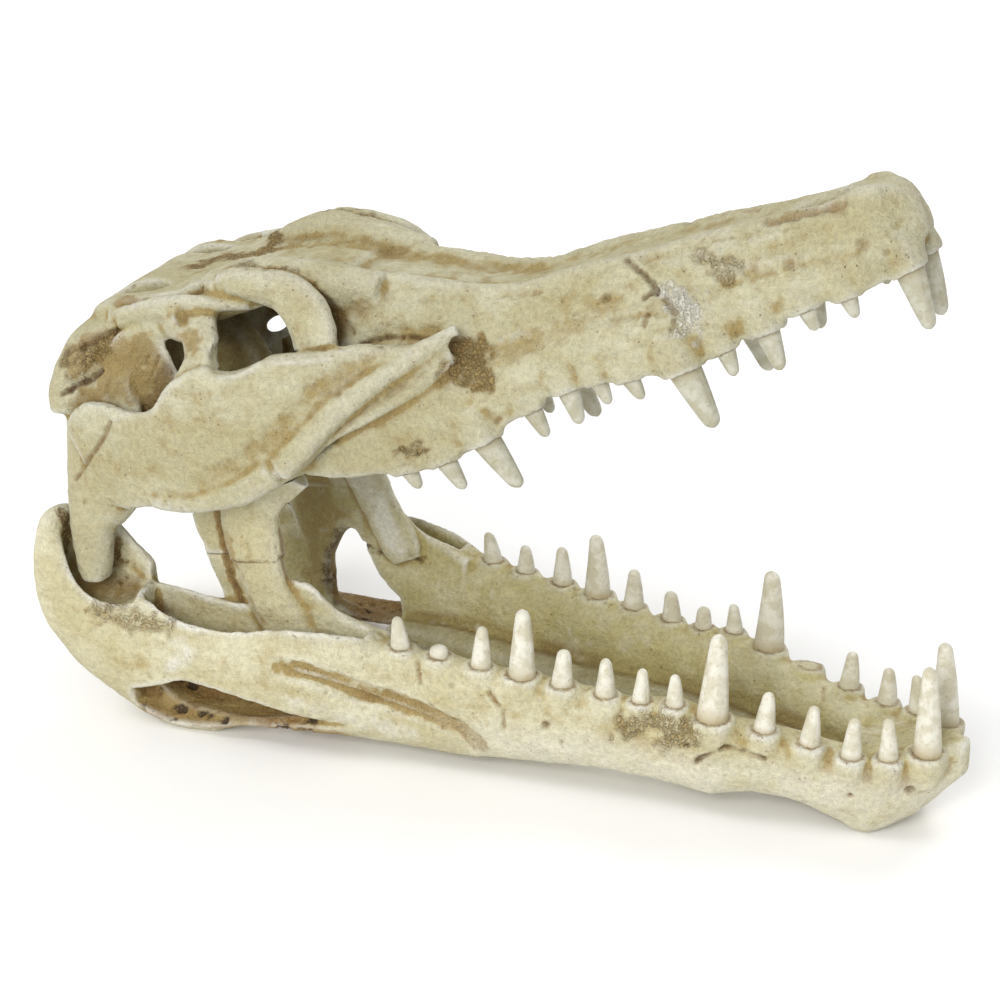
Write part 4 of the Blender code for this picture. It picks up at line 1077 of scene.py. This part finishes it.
def cap(points, edges, normal):
    """Triangles over the closed outlines that directed edges make, and any points they add."""
    after = {}
    for first, second in edges.tolist():
        after.setdefault(first, []).append(second)
    loops = []
    for start in sorted(after):
        while after[start]:
            loop, here = [start], after[start].pop()
            while here != start and after.get(here):
                loop.append(here)
                here = after[here].pop()
            loops.append(loop)
    across = Vector(normal).orthogonal().normalized()
    axes = np.array((across, Vector(normal).cross(across)))
    order, outlines = [], []
    for loop in loops:
        x, y = axes @ points[loop].T
        if np.sum(x * np.roll(y, -1) - y * np.roll(x, -1)) < 0:
            loop.reverse()
        outlines.append(list(range(len(order), len(order) + len(loop))))
        order += loop
    flat = points[order] @ axes.T
    result = delaunay_2d_cdt([Vector(p) for p in flat], [], outlines, 1, 1e-9, True)
    coords, _, triangles, origins, _, owners = result
    added = [i for i, origin in enumerate(origins) if not origin]
    lift = normal * float(points[order[0]] @ normal)
    extra = np.array([axes.T @ np.array(coords[i]) + lift for i in added]).reshape(-1, 3)
    place = {i: len(points) + n for n, i in enumerate(added)}
    place.update({i: order[origin[0]] for i, origin in enumerate(origins) if origin})
    lid = [[place[i] for i in reversed(triangle)] for triangle, owner in zip(triangles, owners)
           if len(owner) % 2]
    return np.array(lid, dtype=np.int64).reshape(-1, 3), extra


def tidy(surface):
    """Surface without unused points."""
    used = np.unique(surface["faces"])
    place = np.full(len(surface["points"]), -1)
    place[used] = np.arange(len(used))
    return {"points": surface["points"][used], "faces": place[surface["faces"]],
            "capped": surface["capped"], "normals": surface["normals"][used],
            "tints": {name: v[used] for name, v in surface["tints"].items()}}


def largest(surface):
    """Surface without crumbs that a plane has cut off."""
    faces = surface["faces"]
    label = np.arange(len(surface["points"]))
    while True:
        low = label[faces].min(1)
        fresh = label.copy()
        for corner in range(3):
            np.minimum.at(fresh, faces[:, corner], low)
        fresh = fresh[fresh]
        if np.array_equal(fresh, label):
            break
        label = fresh
    groups = label[faces[:, 0]]
    names, counts = np.unique(groups, return_counts=True)
    keep = groups == names[np.argmax(counts)]
    return tidy({**surface, "faces": faces[keep], "capped": surface["capped"][keep]})


def add_piece(name, surface, matrix, material):
    """Mesh object from a surface, riding on the frame."""
    faces = surface["faces"]
    turn = np.array(matrix.to_3x3())
    world = surface["points"] @ turn.T + np.array(matrix.translation)
    mesh = bpy.data.meshes.new(name)
    mesh.vertices.add(len(world))
    mesh.vertices.foreach_set("co", world.ravel())
    mesh.loops.add(faces.size)
    mesh.loops.foreach_set("vertex_index", faces.ravel().astype(np.int32))
    mesh.polygons.add(len(faces))
    mesh.polygons.foreach_set("loop_start", np.arange(0, faces.size, 3, dtype=np.int32))
    mesh.update(calc_edges=True)
    capped = surface.get("capped", np.zeros(len(faces), bool))
    mesh.polygons.foreach_set("use_smooth", ~capped)
    if "normals" in surface:
        normals = surface["normals"] @ turn.T / MM
        a, b, c = (world[faces[:, i]] for i in range(3))
        flat = np.cross(b - a, c - a)
        flat /= np.maximum(np.linalg.norm(flat, axis=1, keepdims=True), 1e-12)
        corners = np.where(capped[:, None, None], flat[:, None, :], normals[faces])
        mesh.normals_split_custom_set(corners.reshape(-1, 3))
    for tint, values in surface["tints"].items():
        attribute = mesh.attributes.new(tint, "FLOAT", "POINT")
        attribute.data.foreach_set("value", values.astype(np.float32))
    mesh.materials.append(material)
    piece = link(name, mesh)
    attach(piece, "root")
    return piece


def add_bone(node, surface, matrix, material):
    """Piece of bone that takes the place of a node of the solid model."""
    piece = add_piece("bone_" + node, surface, matrix, material)
    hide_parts(node)


# ---------------------------------------------------------------- materials

# Places of the colour sockets in a mix node, where several share a name.
MIX_FIRST, MIX_SECOND, MIX_RESULT = 6, 7, 2


class Shader:
    """Node material with short calls for the nodes that it is built from."""

    def __init__(self, name):
        self.material = bpy.data.materials.new(name)
        self.material.use_nodes = True
        self.nodes = self.material.node_tree.nodes
        self.links = self.material.node_tree.links
        self.out = self.nodes["Principled BSDF"]
        self.coords = self.nodes.new("ShaderNodeTexCoord").outputs["Object"]

    def feed(self, socket, value):
        """Number, colour or output into a socket."""
        if isinstance(value, bpy.types.NodeSocket):
            self.links.new(value, socket)
        elif isinstance(value, tuple) and len(value) == 3 and socket.type == "RGBA":
            socket.default_value = (*value, 1.0)
        else:
            socket.default_value = value

    def node(self, kind, output, inputs, **settings):
        """Output of a new node, with its inputs fed and its settings made."""
        node = self.nodes.new("ShaderNode" + kind)
        for key, value in settings.items():
            setattr(node, key, value)
        for key, value in inputs.items():
            self.feed(node.inputs[key], value)
        return node.outputs[output]

    def attribute(self, name):
        """Value that the points of the mesh carry under a name."""
        return self.node("Attribute", "Fac", {}, attribute_name=name)

    def noise(self, scale, detail=4.0, stretch=None):
        """Noise per metre of the object, squeezed along its axes by stretch."""
        coords = self.coords
        if stretch:
            coords = self.node("Mapping", "Vector", {"Vector": coords, "Scale": stretch})
        return self.node("TexNoise", "Fac", {"Vector": coords, "Scale": scale, "Detail": detail})

    def pores(self, scale):
        """Distance to scattered points."""
        return self.node("TexVoronoi", "Distance", {"Vector": self.coords, "Scale": scale})

    def curve(self, value, low, high, out_low=0.0, out_high=1.0):
        """Smooth step of a value from one range to another."""
        return self.node("MapRange", "Result", {"Value": value, "From Min": low, "From Max": high,
                                                "To Min": out_low, "To Max": out_high},
                         interpolation_type="SMOOTHSTEP")

    def maths(self, operation, first, second):
        """Sum, difference or product of two values."""
        return self.node("Math", "Value", {0: first, 1: second}, operation=operation)

    def mix(self, factor, first, second, mode="MIX"):
        """Colour between two colours, or their product, by a factor."""
        inputs = {"Factor": factor, MIX_FIRST: first, MIX_SECOND: second}
        return self.node("Mix", MIX_RESULT, inputs, data_type="RGBA", blend_type=mode)

    def finish(self, color, roughness, specular, height, distance, strength):
        """The surface: its colour, roughness and shine, and fine relief from a height."""
        normal = self.node("Bump", "Normal", {"Distance": distance, "Strength": strength,
                                              "Height": height})
        for key, value in (("Base Color", color), ("Roughness", roughness),
                           ("Specular IOR Level", specular), ("Normal", normal)):
            self.feed(self.out.inputs[key], value)
        return self.material


IVORY = (0.60, 0.57, 0.40)
CREAM = (0.50, 0.455, 0.27)
CHALK = (0.70, 0.69, 0.61)
TAN = (0.42, 0.35, 0.18)
OCHRE = (0.35, 0.255, 0.09)
OLIVE = (0.42, 0.37, 0.16)
UMBER = (0.21, 0.13, 0.042)
RUST = (0.22, 0.115, 0.03)
SOOT = (0.035, 0.02, 0.012)
TOOTH_DIM, TOOTH_BRIGHT = (0.53, 0.50, 0.385), (0.66, 0.645, 0.56)
# Painted shade: factors that darken the bone and the teeth of the upper skull.
BONE_PAINTED_SHADE, TOOTH_PAINTED_SHADE = (0.79, 0.795, 0.79), (0.72, 0.725, 0.69)


def bone_material():
    """Dry bone with an ochre wash and painted shade in its hollows, tinted by the attributes of its
    points.
    """
    s = Shader("bone")
    broad = s.noise(26)
    patchy = s.noise(85, 6)
    fine = s.noise(420, 7)
    grain = s.noise(1300, 4)
    streaky = s.noise(240, 4, (0.22, 1.0, 1.0))
    crumbs = s.noise(560, 2)

    color = s.mix(s.curve(broad, 0.38, 0.62), CREAM, IVORY)
    color = s.mix(s.curve(patchy, 0.42, 0.66, 0.0, 0.55), color, CREAM)
    color = s.mix(s.curve(streaky, 0.45, 0.7, 0.0, 0.35), color, TAN)
    # Ochre in tight hollows and umber in deep recesses: the wash, darkened further as painted
    # shade.
    hollow = s.maths("ADD", s.attribute("hollow"), s.curve(patchy, 0.3, 0.7, -0.08, 0.08))
    color = s.mix(s.curve(hollow, 0.0, 0.24, 0.0, 0.9), color, OCHRE)
    depth = s.maths("ADD", s.attribute("depth"), s.curve(broad, 0.3, 0.7, -0.08, 0.08))
    color = s.mix(s.curve(depth, 0.02, 0.55, 0.0, 0.9), color, UMBER)
    # Olive, pale and rust patches; the pale tint also carries painted highlights on edges and
    # ridges and painted light on the jaw's lower front.
    for name, spread, steps, tone in (("olive", patchy, (0.25, 0.7, 0.45, 1.0), OLIVE),
                                      ("pale", patchy, (0.3, 0.6, 0.35, 1.0), CHALK),
                                      ("rust", fine, (0.32, 0.62, 0.6, 1.0), RUST)):
        amount = s.maths("MULTIPLY", s.attribute(name), s.curve(spread, *steps))
        color = s.mix(amount, color, tone)
    grit = s.attribute("grit")
    between = s.maths("MULTIPLY", grit, s.curve(crumbs, 0.38, 0.58, 0.6, 0.0))
    color = s.mix(between, color, OCHRE)
    # Near black where the dark tint is: in cracks and pits, and as painted shade in the roof slots,
    # the temple's depth, the jaw joint's socket and where the posts meet their sheets.
    color = s.mix(s.attribute("dark"), color, SOOT)
    specks = s.maths("MULTIPLY", s.curve(s.pores(330), 0.06, 0.17, 1.0, 0.0),
                     s.curve(patchy, 0.50, 0.64))
    color = s.mix(s.maths("MULTIPLY", specks, 0.55), color, UMBER)
    color = s.mix(s.curve(grain, 0.56, 0.70, 0.0, 0.5), color, TAN)
    color = s.mix(1.0, color, s.curve(fine, 0.30, 0.68, 0.88, 1.06), "MULTIPLY")
    color = s.mix(1.0, color, s.curve(grain, 0.34, 0.62, 0.86, 1.06), "MULTIPLY")
    # Painted shade: darker bone on the upper skull.
    color = s.mix(s.attribute("painted_shade"), color, BONE_PAINTED_SHADE, "MULTIPLY")
    height = s.maths("ADD", s.maths("MULTIPLY", fine, 0.9), s.maths("MULTIPLY", grain, 0.45))
    height = s.maths("ADD", height, s.maths("MULTIPLY", streaky, 0.35))
    height = s.maths("SUBTRACT", height, s.maths("MULTIPLY", specks, 0.7))
    grains = s.maths("MULTIPLY", grit, s.curve(crumbs, 0.38, 0.60, 0.0, 1.6))
    height = s.maths("ADD", height, grains)
    roughness = s.curve(fine, 0.25, 0.75, 0.55, 0.82)
    return s.finish(color, roughness, 0.3, height, 0.0013, 0.95)


def tooth_material():
    """Dry ivory, stained towards the root, with fine cracks along the tooth."""
    s = Shader("tooth")
    patchy = s.noise(160, 5)
    fine = s.noise(600, 5)
    lines = s.attribute("lines")
    color = s.mix(s.curve(patchy, 0.38, 0.62), TOOTH_DIM, TOOTH_BRIGHT)
    base = s.maths("ADD", s.attribute("base"), s.curve(patchy, 0.3, 0.7, -0.15, 0.15))
    color = s.mix(s.curve(base, 0.45, 1.0, 0.0, 0.7), color, OCHRE)
    color = s.mix(s.curve(lines, 0.35, 1.0, 0.0, 0.55), color, TAN)
    color = s.mix(s.curve(fine, 0.56, 0.70, 0.0, 0.5), color, TAN)
    # Painted shade: darker upper teeth.
    color = s.mix(s.attribute("painted_shade"), color, TOOTH_PAINTED_SHADE, "MULTIPLY")
    height = s.maths("SUBTRACT", s.maths("MULTIPLY", fine, 0.6), lines)
    roughness = s.curve(fine, 0.25, 0.75, 0.38, 0.62)
    return s.finish(color, roughness, 0.4, height, 0.0004, 0.7)


# ---------------------------------------------------------------- pieces

def bone_pieces(material):
    """The upper skull, cut into its bones."""
    skull = skull_skin()
    low, high = QUADRATE_CUT
    along = Vector((high[0] - low[0], 0, high[1] - low[1])).normalized()
    front = Vector((along.z, 0, -along.x))
    seam = (low[0], 0, low[1])
    ahead = clip(skull, (SNOUT_CUT_U, 0, 0), (1, 0, 0))
    behind = clip(skull, (SNOUT_CUT_U, 0, 0), (-1, 0, 0))
    middle = clip(ahead, (TIP_CUT_U, 0, 0), (-1, 0, 0))
    inside = behind
    for point, normal in (((0, CHEEK_CUT_Y, 0), (0, -1, 0)), ((0, -CHEEK_CUT_Y, 0), (0, 1, 0)),
                          ((0, 0, PALATE_CUT_V), (0, 0, 1))):
        inside = clip(inside, point, normal)
    below = clip(inside, (0, 0, ROOF_CUT_V), (0, 0, -1))
    bones = {
        "premaxilla": clip(ahead, (TIP_CUT_U, 0, 0), (1, 0, 0)),
        "skull_roof": largest(clip(inside, (0, 0, ROOF_CUT_V), (0, 0, 1))),
        "braincase": largest(clip(below, (ORBIT_CUT_U, 0, 0), (-1, 0, 0))),
        "preorbital": largest(clip(below, (ORBIT_CUT_U, 0, 0), (1, 0, 0))),
    }
    for name, side in SIDES:
        outside = clip(behind, (0, side * CHEEK_CUT_Y, 0), (0, side, 0))
        bones["maxilla_" + name] = clip(middle, (0, 0, 0), (0, side, 0))
        bones["jugal_" + name] = largest(clip(outside, seam, front))
        bones["quadrate_" + name] = largest(clip(outside, seam, -front))
    for node, bone in bones.items():
        add_bone(node, bone, skull_to_world(), material)


def flange_volume(name, side):
    """Brace that hangs from the upper skull, with the plate behind it."""
    middle = np.array((0, side * FLANGE_Y, 0))
    volume = Volume(middle + FLANGE_LOW, middle + FLANGE_HIGH)
    volume.join(limb(FLANGE, side), 2)
    volume.join(limb(FLANGE_SHEET[name], side, power=4), 2)
    if name == "left":
        volume.join(limb(FAR_STRUT, power=3), 1.5)
    volume.soften(1)
    return volume


def jaw_pieces(material):
    """The lower jaw, cut into its bones, and the flanges that stand on its braces."""
    jaw = clip(jaw_skin(), (0, 0, 0), (0, 0, 1))
    seam = np.array((-math.sin(SEAM_SLOPE), 0, math.cos(SEAM_SLOPE)))
    turn = Matrix.Rotation(-GAPE, 3, "Y")
    palate = turn @ Vector((0, 0, PALATE_CUT_V)) + JOINT - Vector((MIDDLE_X, 0, 0))
    for name, side in SIDES:
        half = clip(jaw, (0, 0, 0), (0, side, 0))
        dentary = largest(clip(half, (JAW_CUT_X, 0, 0), (1, 0, 0)))
        angle = clip(half, (JAW_CUT_X, 0, 0), (-1, 0, 0))
        angle = clip(angle, SEAM_POINT, -seam, SEAM_END_X)
        skin = Skin(flange_volume(name, side), FLANGE_SEED)
        mark_brace(skin)
        flange = clip(skin.surface(), SEAM_POINT, seam)
        flange = clip(flange, palate, turn @ Vector((0, 0, -1)))
        for bone, surface in (("dentary_", dentary), ("jaw_angle_", angle),
                              ("pterygoid_flange_", flange)):
            add_bone(bone + name, surface, jaw_to_world(), material)


def tooth(x, y, z, length, radius, lean_deg, side, up, seed, cut=1.0):
    """Blunt curved tooth with its root in the bone; cut is the share of its length left."""
    lean = math.radians(lean_deg)
    axis = np.array((math.sin(lean), 0.0, up * math.cos(lean)))
    angle = 2 * np.pi * np.arange(TOOTH_SIDES) / TOOTH_SIDES
    rng = np.random.default_rng(seed)
    ribs = sum(np.sin(k * angle + rng.uniform(0, 6.3)) * rng.uniform(0.3, 1)
               for k in TOOTH_RIBS) / 3
    twist = rng.uniform(-0.06, 0.06)
    crown = cut * length * np.linspace(0, 1, TOOTH_LEVELS) ** 0.85
    rings, tints = [], {"base": [], "lines": []}
    for rise in (*ROOT_LEVELS, *crown):
        t = max(rise, 0) / length
        width = radius * (1 - 0.40 * t - 0.16 * t * t)
        blunt = np.clip((cut - t) * length / (0.55 * radius), 0, 1) if rise > 0 else 1
        width = width * math.sqrt(max(1 - (1 - blunt) ** 2.2, 0.02))
        wobble = width * (1 + 0.05 * ribs * (0.4 + 0.6 * t) + twist * np.cos(angle))
        bend = 0.10 * t * t * length
        centre = np.array((x - 0.35 * bend, side * (y - 0.6 * bend), z)) + axis * rise
        rings.append(centre + np.stack((wobble * np.cos(angle), 0.86 * wobble * np.sin(angle),
                                        np.zeros(TOOTH_SIDES)), 1))
        tints["base"].append(np.full(TOOTH_SIDES, np.clip(1 - rise / (0.42 * length), 0, 1)))
        tints["lines"].append(np.clip(-ribs * 0.8 - 0.15, 0, 1) * (0.35 + 0.65 * (1 - t)))
    points, faces = loft(rings)
    if up < 0:
        faces = faces[:, ::-1]
    ends = {"base": (1.0, 0.0), "lines": (0.0, 0.0)}
    tints = {name: np.concatenate(rows + [np.array(ends[name])]) for name, rows in tints.items()}
    # Painted shade darkens the upper teeth.
    tints["painted_shade"] = np.full(len(points), 1.0 if up < 0 else 0.0)
    return {"points": points, "faces": faces, "tints": tints}


def merged(shapes):
    """Several closed shapes as one mesh."""
    start = np.cumsum([0] + [len(shape["points"]) for shape in shapes])
    return {"points": np.vstack([shape["points"] for shape in shapes]),
            "faces": np.vstack([shape["faces"] + first for shape, first in zip(shapes, start)]),
            "tints": {name: np.concatenate([shape["tints"][name] for shape in shapes])
                      for name in shapes[0]["tints"]}}


def teeth_pieces(material):
    """Both tooth rows of both jaws, in pieces that go with their bones."""
    seed = TOOTH_SEED
    for name, side in SIDES:
        rows = {"premaxilla": [], "maxilla": [], "dentary": []}
        for u, y, length, radius, lean in UPPER_TEETH:
            seed += 1
            gum = margin_height(UPPER_MARGIN, u) + 1
            bone = "premaxilla" if u > TIP_CUT_U else "maxilla"
            place = (u, y - UPPER_TOOTH_INSET, gum)
            rows[bone].append(tooth(*place, length, radius, lean, side, -1, seed))
        for x, y, length, radius, lean in LOWER_TEETH:
            seed += 1
            left = BROKEN.get((name, x), 1.0)
            if left:
                gum = margin_height(LOWER_MARGIN, x) - 1
                rows["dentary"].append(
                    tooth(x, y, gum, length, radius, lean, side, 1, seed, left))
        for bone, row in rows.items():
            matrix = jaw_to_world() if bone == "dentary" else skull_to_world()
            piece = add_piece("teeth_%s_%s" % (bone, name), merged(row), matrix, material)


# ---------------------------------------------------------------- stage

FLOOR_REACH = 6.0
FLOOR_COLOR = (0.92, 0.92, 0.92, 1)
FLOOR_ROUGHNESS = 0.9
WORLD_STRENGTH = 0.62
# Lamps: place, aim, size, power, colour
LAMPS = {
    "key": ((0.15, -1.9, 1.15), (0, 0, 0.1), 0.9, 30, (1.0, 0.985, 0.95)),
    "side": ((-1.4, -0.7, 1.6), (0, 0, 0.15), 0.7, 12, (1, 1, 1)),
    "back": ((0.3, 2.0, 1.9), (0, 0.5, 0.0), 1.6, 35, (1, 1, 1)),
}
VIEW_ANGLE = math.radians(25.0)                 # to the side and down, as fitted to the photo
CAMERA_PLACE = Vector((0.46897778, -1.02674226, 0.65452283)) + CENTRE * MM
LENS, SENSOR = 90, 36


def link(name, data):
    """New object with this data in the scene."""
    item = bpy.data.objects.new(name, data)
    bpy.context.scene.collection.objects.link(item)
    return item


def add_floor():
    """Plain pale floor."""
    material = bpy.data.materials.new("floor")
    material.use_nodes = True
    shader = material.node_tree.nodes["Principled BSDF"]
    shader.inputs["Base Color"].default_value = FLOOR_COLOR
    shader.inputs["Roughness"].default_value = FLOOR_ROUGHNESS
    mesh = bpy.data.meshes.new("floor")
    corners = [(x * FLOOR_REACH, y * FLOOR_REACH, 0)
               for x, y in ((-1, -1), (1, -1), (1, 1), (-1, 1))]
    mesh.from_pydata(corners, [], [(0, 1, 2, 3)])
    mesh.materials.append(material)
    floor = link("floor", mesh)


def add_lights():
    """White surroundings and the lamps."""
    world = bpy.data.worlds.new("studio")
    bpy.context.scene.world = world
    world.use_nodes = True
    background = world.node_tree.nodes["Background"]
    background.inputs["Color"].default_value = (1, 1, 1, 1)
    background.inputs["Strength"].default_value = WORLD_STRENGTH
    for name, (place, aim, size, power, color) in LAMPS.items():
        data = bpy.data.lights.new(name, "AREA")
        data.size = size
        data.energy = power
        data.color = color
        lamp = link(name, data)
        lamp.location = place
        lamp.rotation_euler = (Vector(aim) - Vector(place)).to_track_quat("-Z", "Y").to_euler()


def add_camera():
    """Camera that sees the skull as the photo does."""
    data = bpy.data.cameras.new("camera")
    data.lens = LENS
    data.sensor_width = SENSOR
    camera = link("camera", data)
    camera.location = CAMERA_PLACE
    camera.rotation_euler = (math.pi / 2 - VIEW_ANGLE, 0, VIEW_ANGLE)
    bpy.context.scene.camera = camera


def main():
    """Everything that the scene shows."""
    bpy.context.scene.view_settings.view_transform = "Standard"
    bone = bone_material()
    bone_pieces(bone)
    jaw_pieces(bone)
    teeth_pieces(tooth_material())
    add_floor()
    add_lights()
    add_camera()


main()
